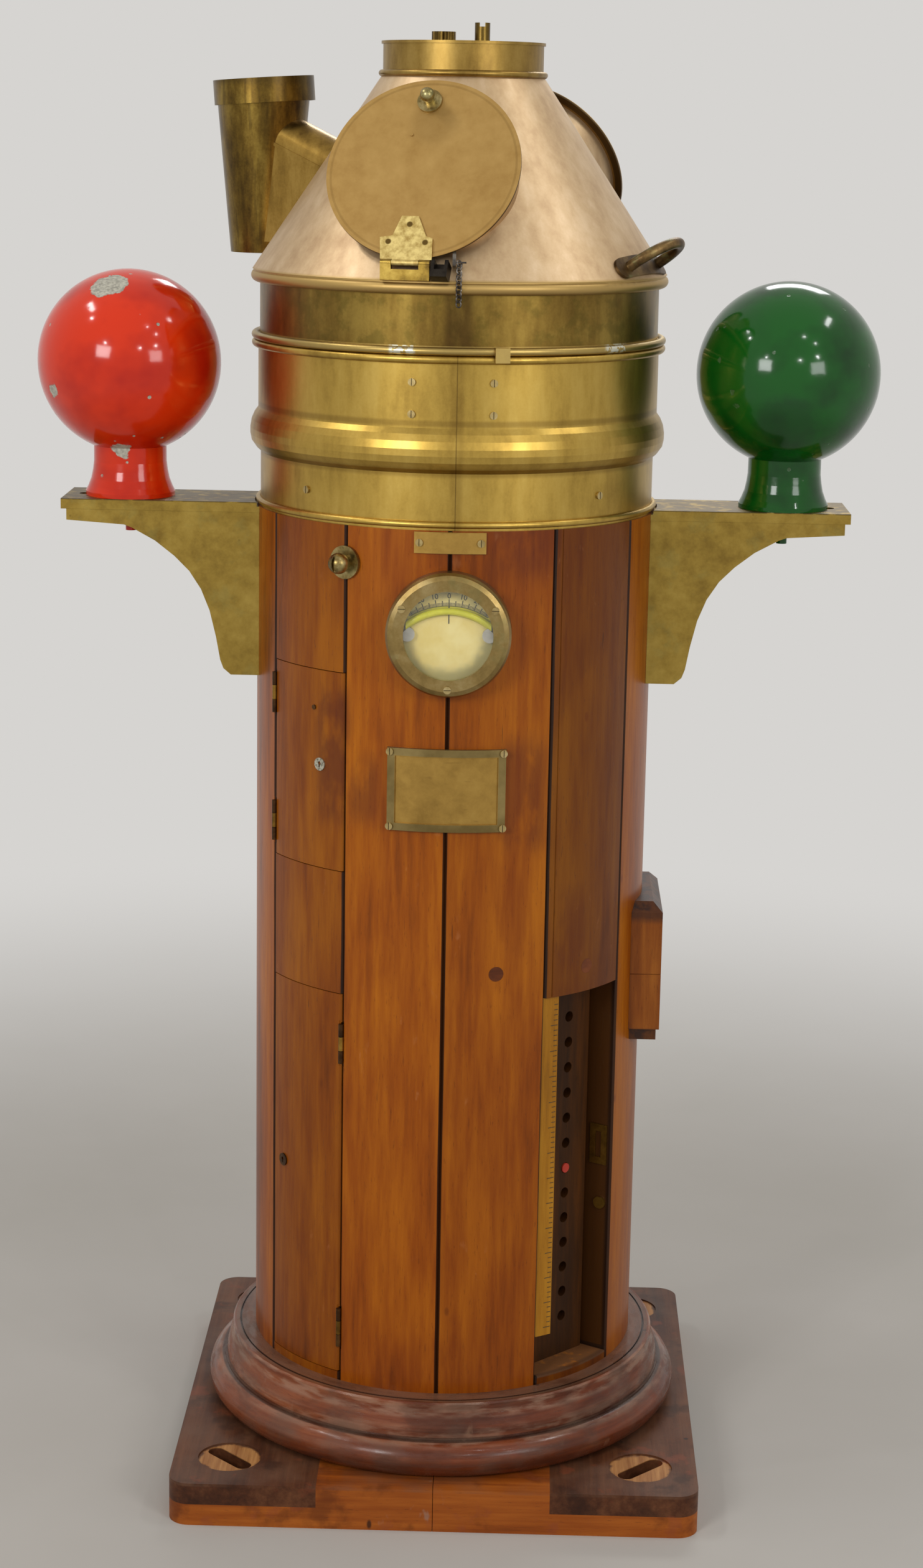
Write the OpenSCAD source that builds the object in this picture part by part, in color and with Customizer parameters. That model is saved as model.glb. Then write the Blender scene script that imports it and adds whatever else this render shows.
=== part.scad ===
// Ship binnacle: a coopered wooden pedestal on a square base board, a brass bowl case with a
// gimballed compass, a lift-off conical hood with two round window doors and a side lamp,
// and two corrector spheres on slotted brackets.
// Units are millimetres. Z is up, the front of the pedestal faces -Y, the base stands on z = 0.
// Azimuth is counted from the front, positive towards +X.

/* [Base board] */
// Width and depth of the square base board
base_w = 496; // [470:2:540]
// Thickness of the base board
base_t = 42; // [30:1:60]
// Radius of the base board corners
base_corner_r = 20; // [8:1:40]
// Width of each rail of the base board
rail_w = 139; // [125:1:145]
// Length of a holding-down slot, end to end
slot_len = 55; // [40:1:60]
// Width of a holding-down slot
slot_w = 16; // [10:1:20]
// Radius of the shallow round seat about a slot
slot_seat_r = 30; // [24:1:34]
// Depth of the round seat
slot_seat_d = 1.5; // [0.5:0.5:4]
// Distance of a slot centre from the middle, left to right
slot_x = 195; // [188:1:200]
// Distance of a slot centre from the middle, front to back
slot_y = 190; // [188:1:200]

/* [Base moulding] */
// Height of the large half round
torus_h = 35; // [26:1:42]
// How far the centre of the half round stands off the pedestal
torus_out = 28.3; // [22:0.1:32]
// Height of the ogee above the half round
ogee_h = 34; // [26:1:42]
// Projection of the ogee at its foot
ogee_foot_out = 28.4; // [26:0.1:32]
// Projection of the ogee at its top
ogee_top_out = 22.5; // [14:0.1:24]

/* [Pedestal] */
// Outer radius of the pedestal
ped_r = 187; // [180:1:192]
// Height of the staves
stave_h = 889; // [860:1:920]
// Thickness of the staves
stave_t = 30; // [24:1:34]
// Side of the V groove at each seam
seam_v = 2.8; // [1:0.1:3]
// Gap between neighbouring staves
seam_gap = 0.2; // [0.1:0.05:0.4]
// Height of the fixed sill pieces of the two door bays, above the base board
sill_h = 77; // [74:1:84]
// Height of the lower door opening
low_open_h = 376; // [340:1:380]
// Height of the fixed panel between the two left doors
mid_panel_h = 116; // [90:1:120]
// Height of the upper door opening
up_open_h = 186; // [150:1:190]
// Gap all round a door
door_gap = 0.8; // [0.5:0.1:1.5]
// Thickness of the floor disc
floor_t = 15; // [10:1:20]
// Thickness of the inner shelf
shelf_t = 24; // [18:1:28]
// Thickness of the top deck
deck_t = 25; // [18:1:30]
// Radius of a wooden screw plug
plug_r = 7; // [5:0.5:9]

/* [Corrector magnet rack] */
// Width of the two rack boards
rack_w = 74; // [60:1:75]
// Thickness of each rack board
rack_t = 14; // [10:1:18]
// Depth of the front rack face behind the pedestal face
rack_depth = 30; // [29:1:37]
// Distance between the two rack boards
rack_apart = 180; // [150:1:190]
// Radius of a rack hole
rack_hole_r = 5.1; // [4:0.1:6]
// Number of rack holes
rack_holes = 13; // [8:1:13]
// Spacing of the rack holes
rack_pitch = 25.2; // [22:0.1:26]
// Height of the lowest rack hole above the floor
rack_low = 39; // [30:1:45]
// Sideways place of the hole column
rack_side = 9.5; // [0:0.5:14]
// Radius of a corrector magnet
magnet_r = 4.6; // [3.5:0.1:4.8]
// Length of a corrector magnet
magnet_len = 200; // [180:1:205]

/* [Small fittings on the pedestal] */
// Width of the large blank plate
plate_w = 107; // [90:1:115]
// Height of the large blank plate
plate_h = 76; // [60:1:80]
// Height of the middle of the large plate above the floor
plate_z = 696; // [690:1:702]
// Width of the small blank plate
small_plate_w = 64; // [50:1:70]
// Height of the small blank plate
small_plate_h = 19; // [14:1:20]
// Outer radius of the clinometer
clino_r = 56; // [50:1:58]
// Radius of the clinometer glass
clino_glass_r = 41.5; // [36:0.5:43]
// Projection of the clinometer in front of the pedestal
clino_out = 20; // [17:1:26]
// Height of the clinometer centre below the top of the pedestal
clino_drop = 91; // [88:1:95]
// Radius of the turn knob rosette
knob_r = 15; // [12:0.5:17]
// Height of the turn knob below the top of the pedestal
knob_drop = 33; // [28:1:38]
// Radius of a screw head
screw_r = 3.4; // [2.5:0.1:4]

/* [Side block] */
// Width of the wooden block on the right side
block_w = 130; // [110:1:134]
// How far the outer face of the block stands off the pedestal
block_out = 18; // [16:1:28]
// Height of the underside of the block
block_z = 426; // [410:1:440]
// Height of the block, bottom plate and cap included
block_h = 136; // [120:1:150]

/* [Bowl case] */
// Sheet thickness of the brasswork
sheet_t = 2; // [1.5:0.1:2.5]
// Outer radius of the upper part of the case
case_r = 186.4; // [184:0.1:187]
// Height of the case up to the centre of its top wire
case_h = 150; // [146:1:156]
// Radius of the wire in the two meeting rings
wire_r = 3.6; // [3:0.1:3.6]

/* [Compass] */
// Depth of the gimbal axes below the top ring of the case
gimbal_drop = 34; // [32:1:36]
// Gap between the gimbal ring and the inside of the bowl case
ring_gap = 26.4; // [25.4:0.5:28.4]
// Thickness of the gimbal ring
ring_t = 9; // [7:0.5:10]
// Height of the gimbal ring
ring_h = 14; // [12:0.5:16]
// Radius of the gimbal pins
pin_r = 4; // [3:0.1:5]
// Running clearance of the pins
pin_clear = 0.05; // [0.02:0.01:0.08]
// Gap between the compass bowl and the gimbal ring
bowl_gap = 13; // [12:1:20]
// Depth of the compass bowl below the gimbal axes
bowl_deep = 70; // [66:1:74]
// Rise of the compass bowl above the gimbal axes
bowl_rise = 38; // [34:1:40]
// Gap between the compass card and the outside of its bowl
card_gap = 14; // [12:1:25]

/* [Hood] */
// How much smaller the skirt is than the bowl case
skirt_in = 1.4; // [0.6:0.1:2.4]
// Height of the skirt from its wire ring to the bead
skirt_h = 54; // [48:0.5:58]
// Radius of the rolled bead
bead_r = 5.5; // [4.5:0.1:6]
// How far the foot of the cone stands off the skirt
cone_out = 7; // [5:0.5:8]
// Outer radius of the cone at its top
cone_r2 = 75; // [73:0.5:78]
// Height of the cone
cone_h = 174; // [168:1:180]
// How much smaller the collar is than the top of the cone
collar_in = 1.6; // [1.2:0.1:4]
// Height of the collar
collar_h = 30; // [24:0.5:36]
// Angle of the handle about the hood
handle_a = 65.5; // [60:0.5:70]
// Distance between the legs of the handle
handle_w = 65; // [56:1:72]
// Reach of the handle off the cone
handle_reach = 37; // [34:1:42]
// Thickness of the handle bar
handle_d = 10; // [8:0.5:12]

/* [Window doors] */
// Angle of the front window
front_a = -12; // [-14:0.5:-10]
// Angle of the rear window
rear_a = 150; // [148:0.5:152]
// Radius of a round door
wdoor_r = 87; // [85:0.5:88]
// Thickness of a round door
wdoor_t = 2.5; // [2:0.1:3.5]
// How much steeper than the cone a round door stands
wdoor_steep = 4.42; // [3.4:0.02:5]
// Height of a door centre above the foot of the cone
wdoor_up = 94.5; // [93:0.5:96]
// How far a door centre stands off the cone, square to the hood axis
wdoor_stand = 17.14; // [15.5:0.02:19.5]
// Outer radius of the window frame
wframe_r = 79; // [76:0.5:80]

/* [Lamp] */
// Angle of the lamp about the hood
lamp_a = -118.8; // [-122:0.2:-116]
// Distance of the lamp axis from the foot of the cone
lamp_off = 27.7; // [27:0.1:30]
// Radius of the lamp tube at its foot
lamp_r1 = 31; // [29:0.5:31.5]
// Radius of the lamp tube at its top
lamp_r2 = 45.2; // [43:0.1:45.5]
// Height of the lamp tube
lamp_h = 158; // [150:1:162]
// Lean of the lamp cap on its tube, right side high
cap_lean = 4; // [0:0.5:4]
// Outer radius of the arched duct
duct_r = 26; // [22:0.5:27]
// Height of the duct ridge above the foot of the cone
duct_up = 132.2; // [130:0.1:134]
// Slope of the duct down to the hood
duct_slope = 22; // [18:1:26]

/* [Corrector brackets and spheres] */
// Width of a bracket, front to back
bracket_w = 84; // [76:1:90]
// How far a bracket plate reaches beyond the sphere centre
bracket_over = 60; // [54:1:68]
// Thickness of the bracket plate
bracket_t = 9.5; // [8:0.5:12]
// Thickness of the bracket webs
web_t = 6; // [5:0.5:8]
// Height of a bracket
bracket_h = 164; // [156:1:172]
// Width of the slot along the bracket plate
track_w = 13; // [12:0.5:16]
// Radius of a corrector sphere
sphere_r = 85.5; // [80:0.5:87]
// Distance of a sphere centre from the pedestal face
sphere_off = 121; // [113:1:125]
// Height of a sphere centre above its bracket
sphere_up = 125; // [122:1:130]

/* [Hidden] */
$fn = 72;
eps = 0.01;
cut_far = 400;
stave_n = 12;
stave_a = 360 / stave_n;
ped_in = ped_r - stave_t;
ped_top = base_t + stave_h;
sill_z = base_t + sill_h;
low_top = sill_z + low_open_h;
mid_top = low_top + mid_panel_h;
up_top = mid_top + up_open_h;
bay_right = 45;
bay_left = -45;
jamb_a = bay_right + stave_a / 2;
left_jamb_a = bay_left - stave_a / 2;
left_seam_a = bay_left + stave_a / 2;
thin_seam_a = 32.6;
strip_end_a = 35.3;
rack_d = ped_r - rack_depth;
disc_r = ped_in - 0.1;
shelf_z = low_top + 13;
tube_r = 22;
tube_in = 20;
tube_up = 9;
block_x = ped_r + block_out;
block_behind = 40;
knob_z = ped_top - knob_drop;
small_plate_z = ped_top - small_plate_h / 2 - 1;
plug_places = [[stave_a / 2, low_top + 28], [bay_right, low_top + 24]];
plug_depth = 8;
low_hinge_zs = [sill_z + 46, low_top - 48];
up_hinge_zs = [mid_top + 32, up_top - 32];
hinge_out = 1;
hinge_r = 2.4;
hinge_pocket_r = 2.9;
hinge_pocket_half = 22;
knuckle_end = 19;
knuckle_in = 7;
knuckle_mid = 6.6;
leaf_t = 1.1;
leaf_slot_t = 1.2;
leaf_depth = 20;
up_key_place = [-38.5, up_top - 88];
up_mark_place = [-40.9, up_top - 36];
low_key_place = [-54, low_top - 182];
strike_z = low_top - 187;
strike_h = 40;
stud_z = low_top - 226;
clino_border = 2.8;
clino_clip_x = clino_glass_r - 5;
clino_clip_r = 6.5;
clino_arc_r = 60.7;
clino_arc_drop = 40;
clino_tube_r = 3;
case_low_r = case_r - 2.4;
case_ring_r = case_r + 2.4;
case_top = ped_top + case_h;
gimbal_z = case_h - gimbal_drop;
case_in = case_r - sheet_t;
ring_r = case_in - ring_gap - ring_t;
bowl_r = ring_r - bowl_gap;
card_r = bowl_r - card_gap;
bearing_x = ring_r + ring_t + 6;
bearing_w = 90;
bearing_h = 46;
gimbal_pin_end = bearing_x + 16;
skirt_r = case_r - skirt_in;
cone_r1 = skirt_r + cone_out;
collar_r = cone_r2 - collar_in;
bead_out = 1.3;
hood_z = case_top + 2 * wire_r + 0.1;
hood_bead_z = hood_z + skirt_h;
cone_z = hood_bead_z + 6;
cone_top = cone_z + cone_h;
cone_slope = (cone_r1 - cone_r2) / cone_h;
cone_lean = atan(cone_slope);
wdoor_lean = cone_lean - wdoor_steep;
wdoor_z = cone_z + wdoor_up;
wdoor_out = cone_r1 - wdoor_up * cone_slope + wdoor_stand;
wdoor_knob = [21.3 - wdoor_r, -2.7];
wdoor_dot = [-33, -14.7];
wdoor_barrel_r = 2.6;
wdoor_pin_r = 4.1;
wframe_t = 3;
wframe_depth = 72;
top_screw_x = -18.4;
top_pin_r = 3;
fork_x = 16.8;
wdoor_hinge_v = wdoor_r + 5;
wdoor_hinge_n = 2;
collar_z = cone_top;
plate_top = ped_top + 3;
sphere_z = plate_top + sphere_up;
lamp_z = cone_z + 9;
lamp_out = cone_r1 + lamp_off;
lamp_wall = 1.6;
duct_z = cone_z + duct_up;
duct_x = lamp_out - 41.7;
duct_near = duct_x - 68;
duct_far = duct_x + 47;
duct_box = 100;
duct_tail = 60;
duct_len = 150;
sphere_x = ped_r + sphere_off;
bracket_x = sphere_x + bracket_over;
track_in = 25;
track_out = 42;
clino_z = ped_top - clino_drop;
handle_z = cone_z + 12;

// Shared placing and shaping modules
module at_az(a, r = 0, z = 0) {
    rotate([0, 0, a - 90])
        translate([r, 0, z])
            children();
}

module wedge(a0, a1) {
    mid = (a0 + a1) / 2;
    half = (a1 - a0) / 2;
    rotate(mid - 90)
        polygon([[0, 0], [cut_far, -cut_far * tan(half)], [cut_far, cut_far * tan(half)]]);
}

module sector(r0, r1, a0, a1) {
    intersection() {
        difference() {
            circle(r1);
            circle(r0);
        }
        wedge(a0, a1);
    }
}

module stave_plan(a0, a1) {
    trim = asin(seam_gap / 2 / ped_r);
    difference() {
        sector(ped_in, ped_r, a0 + trim, a1 - trim);
        for (a = [a0, a1])
            rotate(a - 90)
                translate([ped_r, 0])
                    rotate(45)
                        square(seam_v, center = true);
    }
}

module ring(r0, r1, h) {
    difference() {
        cylinder(r = r1, h = h);
        translate([0, 0, -1])
            cylinder(r = r0, h = h + 2);
    }
}

module radial_drill(a, z, r, depth) {
    at_az(a, ped_r - depth, z)
        rotate([0, 90, 0])
            cylinder(r = r, h = depth + 10, $fn = 32);
}

// Base board
module board_plan() {
    half = base_w / 2 - base_corner_r;
    union() {
        square([base_w, 2 * half], center = true);
        square([2 * half, base_w], center = true);
        for (x = [-half, half])
            for (y = [-half, half])
                translate([x, y])
                    circle(base_corner_r);
    }
}

module slot_plan() {
    run = (slot_len - slot_w) / 2;
    union() {
        square([2 * run, slot_w], center = true);
        for (x = [-run, run])
            translate([x, 0])
                circle(slot_w / 2, $fn = 32);
    }
}

module board_slots() {
    for (x = [-1, 1])
        for (y = [-1, 1])
            translate([x * slot_x, y * slot_y, 0])
                rotate([0, 0, -x * y * 45]) {
                    translate([0, 0, -1])
                        linear_extrude(base_t + 2)
                            slot_plan();
                    translate([0, 0, base_t - slot_seat_d])
                        cylinder(r = slot_seat_r, h = slot_seat_d + 1);
                }
}

module base_side_rails() {
    inner = base_w / 2 - rail_w;
    color("#4a2616")
        difference() {
            linear_extrude(base_t)
                board_plan();
            translate([-inner, -base_w, -1])
                cube([2 * inner, 2 * base_w, base_t + 2]);
            for (y = [-base_w - inner, inner])
                translate([-base_w, y, -1])
                    cube([2 * base_w, base_w, base_t / 2 + 1]);
            board_slots();
        }
}

module base_cross_rails() {
    inner = base_w / 2 - rail_w;
    butt = 0.6;
    color("#8a4a22")
        difference() {
            linear_extrude(base_t)
                board_plan();
            translate([-base_w, -inner, -1])
                cube([2 * base_w, 2 * inner, base_t + 2]);
            for (x = [-base_w - inner, inner])
                translate([x, -base_w, base_t / 2])
                    cube([base_w, 2 * base_w, base_t]);
            translate([-butt / 2, -base_w, -1])
                cube([butt, base_w, base_t + 2]);
            board_slots();
        }
}

// Base moulding
module base_torus() {
    color("#5b2412")
        translate([0, 0, base_t])
            rotate_extrude()
                union() {
                    translate([ped_r, 0])
                        square([torus_out, torus_h]);
                    translate([ped_r + torus_out, torus_h / 2])
                        circle(torus_h / 2, $fn = 48);
                }
}

module base_ogee() {
    steps = 8;
    lip = 3;
    fillet = 4;
    step_out = 2;
    step_up = 1.6;
    edge = 1.5;
    groove_in = 7;
    groove = 1.3;
    top = ped_r + ogee_top_out;
    foot = ped_r + ogee_foot_out;
    run = ogee_h - lip - fillet;
    drop = ogee_foot_out - ogee_top_out;
    curve = [for (i = [0:steps])
        [ped_r + ogee_top_out + drop * (1 + cos(180 * i / steps)) / 2, fillet + run * i / steps]];
    color("#5b2412")
        translate([0, 0, base_t + torus_h])
            rotate_extrude()
                polygon(concat([[ped_r, 0], [foot + step_out, 0], [foot + step_out, step_up],
                    [foot, step_up]], curve,
                    [[top, ogee_h - edge], [top - edge, ogee_h], [top - groove_in, ogee_h],
                    [top - groove_in, ogee_h - groove], [top - groove_in - groove, ogee_h - groove],
                    [top - groove_in - groove, ogee_h], [ped_r, ogee_h]]));
}

// Pedestal staves
module hinge_pocket(a, side, z) {
    at_az(a, ped_r + hinge_out, z)
        translate([0, side * door_gap / 2, -hinge_pocket_half])
            cylinder(r = hinge_pocket_r, h = 2 * hinge_pocket_half, $fn = 24);
}

module leaf_rebate(a, side, z) {
    at_az(a, ped_r - leaf_depth, z)
        translate([0, side > 0 ? -eps : -leaf_slot_t, -knuckle_end - 1])
            cube([leaf_depth + 10, leaf_slot_t + eps, 2 * knuckle_end + 2]);
}

module hinge_cuts(a, z, fixed_side) {
    hinge_pocket(a, -fixed_side, z);
    leaf_rebate(a, fixed_side, z);
}

module plug_holes() {
    for (p = plug_places)
        radial_drill(p[0], p[1], plug_r, plug_depth);
}

module staves() {
    color("#9c4f1c")
        difference() {
            for (i = [0:stave_n - 1]) {
                a0 = i * stave_a;
                mid = a0 + stave_a / 2;
                if (abs(mid - bay_right) > 1 && abs(mid - 360 - bay_left) > 1)
                    translate([0, 0, base_t])
                        linear_extrude(stave_h)
                            stave_plan(a0, a0 + stave_a);
            }
            plug_holes();
            for (z = low_hinge_zs)
                hinge_cuts(left_seam_a, z, 1);
            for (z = up_hinge_zs)
                hinge_cuts(left_jamb_a, z, -1);
            knob_bore();
        }
}

knob_stem_r = 5.5;
knob_stem_len = 12;

module knob_bore() {
    at_az(left_seam_a, ped_r - knob_stem_len - 2, knob_z)
        rotate([0, 90, 0])
            cylinder(r = knob_stem_r + 0.5, h = knob_stem_len + 18, $fn = 32);
}

module bay_piece(a, z0, z1) {
    translate([0, 0, z0])
        linear_extrude(z1 - z0)
            stave_plan(a - stave_a / 2, a + stave_a / 2);
}

module bay_staves() {
    color("#a4561f")
        difference() {
            union() {
                bay_piece(bay_right, base_t, sill_z);
                bay_piece(bay_right, low_top, ped_top);
                bay_piece(bay_left, base_t, sill_z);
                bay_piece(bay_left, low_top, mid_top);
                bay_piece(bay_left, up_top, ped_top);
            }
            plug_holes();
            at_az(thin_seam_a, ped_r, low_top - 1)
                rotate([0, 0, 45])
                    translate([-0.8, -0.8, 0])
                        cube([1.6, 1.6, ped_top]);
            knob_bore();
        }
}

module door_shell(z0, z1) {
    edge = asin(door_gap / ped_r);
    translate([0, 0, z0 + door_gap])
        linear_extrude(z1 - z0 - 2 * door_gap)
            stave_plan(bay_left - stave_a / 2 + edge, bay_left + stave_a / 2 - edge);
}

module door_leaf_cut(a, side, z) {
    at_az(a, ped_r - leaf_depth, z)
        translate([0, side > 0 ? door_gap : -door_gap - leaf_slot_t, -knuckle_end - 1])
            cube([leaf_depth + 10, leaf_slot_t, 2 * knuckle_end + 2]);
}

module upper_door() {
    color("#a4561f")
        difference() {
            door_shell(mid_top, up_top);
            for (z = up_hinge_zs) {
                hinge_pocket(left_jamb_a, 1, z);
                door_leaf_cut(left_jamb_a, 1, z);
            }
        }
}

module lower_door() {
    color("#a4561f")
        difference() {
            door_shell(sill_z, low_top);
            for (z = low_hinge_zs) {
                hinge_pocket(left_seam_a, -1, z);
                door_leaf_cut(left_seam_a, -1, z);
            }
        }
}

module barrel(a, z, z0, z1, side) {
    at_az(a, ped_r + hinge_out, z)
        translate([0, side * door_gap / 2, z0])
            cylinder(r = hinge_r, h = z1 - z0, $fn = 24);
}

module leaf_plate(a, side, z, z0, z1, off) {
    at_az(a, ped_r + hinge_out - leaf_depth, z)
        translate([0, side > 0 ? off : -off - leaf_t, z0])
            cube([leaf_depth, leaf_t, z1 - z0]);
}

module door_hinge_half(a, side, z) {
    for (s = [[-knuckle_end, -knuckle_in], [knuckle_in, knuckle_end]]) {
        barrel(a, z, s[0], s[1], side);
        leaf_plate(a, side, z, s[0], s[1], door_gap);
    }
}

module keyhole_plate(a, z) {
    at_az(a, ped_r, z)
        rotate([0, 90, 0])
            difference() {
                cylinder(r = 6, h = 1.4, $fn = 32);
                translate([-1, 0, -1])
                    cylinder(r = 1.6, h = 4, $fn = 24);
                translate([-1, -0.7, -1])
                    cube([4, 1.4, 4]);
            }
}

module upper_door_brass() {
    color("#b8a060")
        difference() {
            union() {
                for (z = up_hinge_zs)
                    door_hinge_half(left_jamb_a, 1, z);
                keyhole_plate(up_key_place[0], up_key_place[1]);
                at_az(up_mark_place[0], ped_r, up_mark_place[1])
                    rotate([0, 90, 0])
                        cylinder(r = 2.2, h = 1.2, $fn = 24);
            }
            cylinder(r = ped_r - leaf_depth + 0.5, h = ped_top);
        }
}

module lower_door_brass() {
    color("#b8a060")
        difference() {
            union() {
                for (z = low_hinge_zs)
                    door_hinge_half(left_seam_a, -1, z);
                keyhole_plate(low_key_place[0], low_key_place[1]);
            }
            cylinder(r = ped_r - leaf_depth + 0.5, h = ped_top);
        }
}

module jamb_fittings() {
    color("#b8a060") {
        difference() {
            at_az(jamb_a, ped_r - 23, strike_z)
                translate([0, -1.5, 0])
                    cube([18, 1.5, strike_h]);
            at_az(jamb_a, ped_r - 17, strike_z + 7)
                translate([0, -3, 0])
                    cube([6, 5, strike_h - 14]);
        }
        at_az(jamb_a, ped_r - 11, stud_z)
            rotate([90, 0, 0])
                cylinder(r = 6, h = 2.5, $fn = 32);
        for (z = low_hinge_zs) {
            barrel(left_seam_a, z, -knuckle_mid, knuckle_mid, -1);
            leaf_plate(left_seam_a, 1, z, -knuckle_mid, knuckle_mid, 0);
        }
        for (z = up_hinge_zs) {
            barrel(left_jamb_a, z, -knuckle_mid, knuckle_mid, 1);
            leaf_plate(left_jamb_a, -1, z, -knuckle_mid, knuckle_mid, 0);
        }
    }
}

module wood_plugs() {
    color("#6e3312")
        for (p = plug_places)
            at_az(p[0], ped_r - plug_depth + 0.1, p[1])
                rotate([0, 90, 0])
                    cylinder(r = plug_r - 0.1, h = plug_depth - 0.1, $fn = 32);
}

// Discs inside the pedestal
module pedestal_floor() {
    color("#7a3d1a")
        translate([0, 0, sill_z - floor_t])
            cylinder(r = disc_r, h = floor_t);
}

module pedestal_shelf() {
    color("#7a3d1a")
        translate([0, 0, shelf_z])
            cylinder(r = disc_r, h = shelf_t);
}

module pedestal_deck() {
    color("#7a3d1a")
        translate([0, 0, ped_top - deck_t])
            ring(tube_r + 0.1, disc_r, deck_t);
}

// Corrector magnet rack behind the open right bay
function rack_hole_z(i) = sill_z + rack_low + i * rack_pitch;

module rack_place() {
    at_az(bay_right, 0, 0)
        children();
}

module rack_boards() {
    color("#2a1a12")
        rack_place()
            difference() {
                for (x = [rack_d - rack_t, rack_d - rack_t - rack_apart])
                    translate([x, -rack_w / 2, sill_z])
                        cube([rack_t, rack_w, low_open_h - 1]);
                for (i = [0:rack_holes - 1])
                    translate([rack_d - rack_apart - 2 * rack_t, rack_side, rack_hole_z(i)])
                        rotate([0, 90, 0])
                            cylinder(r = rack_hole_r, h = rack_apart + 3 * rack_t, $fn = 24);
            }
}

magnet_z = rack_hole_z(6);

module corrector_magnet() {
    color("#b03020")
        rack_place()
            translate([rack_d + 1 - magnet_len, rack_side, magnet_z])
                rotate([0, 90, 0])
                    cylinder(r = magnet_r, h = magnet_len, $fn = 32);
}

module scale_strip() {
    color("#c8a040")
        translate([0, 0, sill_z + 40])
            linear_extrude(low_top - sill_z - 40)
                sector(ped_r - 6, ped_r - 2, bay_right - stave_a / 2, strip_end_a);
}

// Wooden block on the right side
module block_slab(z0, z1, inset) {
    difference() {
        translate([ped_r - block_behind, -block_w / 2 + inset, z0])
            cube([block_x - ped_r + block_behind - inset, block_w - 2 * inset, z1 - z0]);
        translate([0, 0, z0 - 1])
            cylinder(r = ped_r, h = z1 - z0 + 2);
    }
}

// Cap of the block, chamfered at its front and both sides
module block_cap(z0, z1, cham) {
    near = ped_r - block_behind;
    half = block_w / 2;
    difference() {
        intersection() {
            translate([0, half, 0])
                rotate([90, 0, 0])
                    linear_extrude(block_w)
                        polygon([[near, z0], [block_x, z0], [block_x, z1 - cham],
                            [block_x - cham, z1], [near, z1]]);
            translate([near, 0, 0])
                rotate([90, 0, 90])
                    linear_extrude(block_x - near)
                        polygon([[-half, z0], [half, z0], [half, z1 - cham],
                            [half - cham, z1], [cham - half, z1], [-half, z1 - cham]]);
        }
        translate([0, 0, z0 - 1])
            cylinder(r = ped_r, h = z1 - z0 + 2);
    }
}

module side_block() {
    foot = 11;
    seam = 66;
    cap = 24;
    cham = 9;
    color("#8f4a20") {
        block_slab(block_z + foot, block_z + seam - 0.4, 0);
        block_slab(block_z + seam + 0.4, block_z + block_h - cap, 0);
        block_slab(block_z + seam - 0.4, block_z + seam + 0.4, 1);
    }
    color("#3a2014") {
        block_slab(block_z, block_z + foot, 3);
        block_cap(block_z + block_h - cap, block_z + block_h, cham);
    }
}

// Plates, knob and clinometer
module bent_plate(w, h, z, r0, r1) {
    intersection() {
        translate([0, 0, z - h / 2])
            ring(r0, r1, h);
        translate([-w / 2, -ped_r - 20, z - h / 2 - 1])
            cube([w, ped_r, h + 2]);
    }
}

module large_plate() {
    border = 7;
    color("#a08a50")
        difference() {
            bent_plate(plate_w, plate_h, plate_z, ped_r, ped_r + 4);
            bent_plate(plate_w - 2 * border, plate_h - 2 * border, plate_z, ped_r + 2.5, ped_r + 6);
        }
}

module small_plate() {
    color("#a08a50")
        bent_plate(small_plate_w, small_plate_h, small_plate_z, ped_r, ped_r + 2);
}

module pedestal_knob() {
    color("#b8a060")
        at_az(left_seam_a, ped_r, knob_z)
            rotate([0, 90, 0])
                difference() {
                    union() {
                        translate([0, 0, -knob_stem_len])
                            cylinder(r = knob_stem_r, h = knob_stem_len + 1, $fn = 32);
                        translate([0, 0, 0.4])
                            cylinder(r = knob_r, h = 3, $fn = 48);
                        cylinder(r = 8, h = 10, $fn = 32);
                        translate([0, 0, 12])
                            sphere(r = 9.5, $fn = 32);
                    }
                    translate([-12, -1.2, 18])
                        cube([24, 2.4, 6]);
                }
}

module clino_place() {
    translate([0, -ped_r - clino_out, clino_z])
        rotate([-90, 0, 0])
            children();
}

module clinometer_case() {
    color("#a08a50")
        difference() {
            clino_place()
                rotate_extrude()
                    polygon([[clino_glass_r - 1.5, 0], [clino_r - 6, 0], [clino_r - 2, 2], [clino_r, 6],
                        [clino_r, clino_out + 12], [0, clino_out + 12], [0, clino_out - 2],
                        [clino_glass_r + 3, clino_out - 2], [clino_glass_r + 3, 2],
                        [clino_glass_r - 1.5, 2]]);
            cylinder(r = ped_r, h = ped_top);
        }
}

module clinometer_dial() {
    color("#e6dcb4")
        clino_place()
            translate([0, 0, clino_out - 4])
                cylinder(r = clino_glass_r + clino_border, h = 2);
    color("#c8c8c8")
        clino_place()
            difference() {
                for (x = [-clino_clip_x, clino_clip_x])
                    translate([x, 0.5, clino_out - 9])
                        cylinder(r = clino_clip_r, h = 5, $fn = 32);
                tube_arc(clino_tube_r + 0.1);
            }
}

module tube_arc(r) {
    translate([0, clino_arc_drop, clino_out - 8])
        rotate_extrude()
            translate([clino_arc_r, 0])
                circle(r, $fn = 24);
}

module clinometer_tube() {
    color("#c8c020")
        clino_place()
            intersection() {
                tube_arc(clino_tube_r);
                translate([-clino_clip_x - 1.5, -clino_arc_drop, 0])
                    cube([2 * clino_clip_x + 3, clino_arc_drop + 20, clino_out]);
            }
}

module clinometer_glass() {
    color("#d8e8e8")
        clino_place()
            translate([0, 0, 2.05])
                cylinder(r = clino_glass_r + clino_border, h = 2.4);
}

// Screw heads of the plates, the clinometer and the case
module radial_screw(a, z, r) {
    at_az(a, r, z)
        rotate([0, 90, 0])
            screw_head();
}

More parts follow.
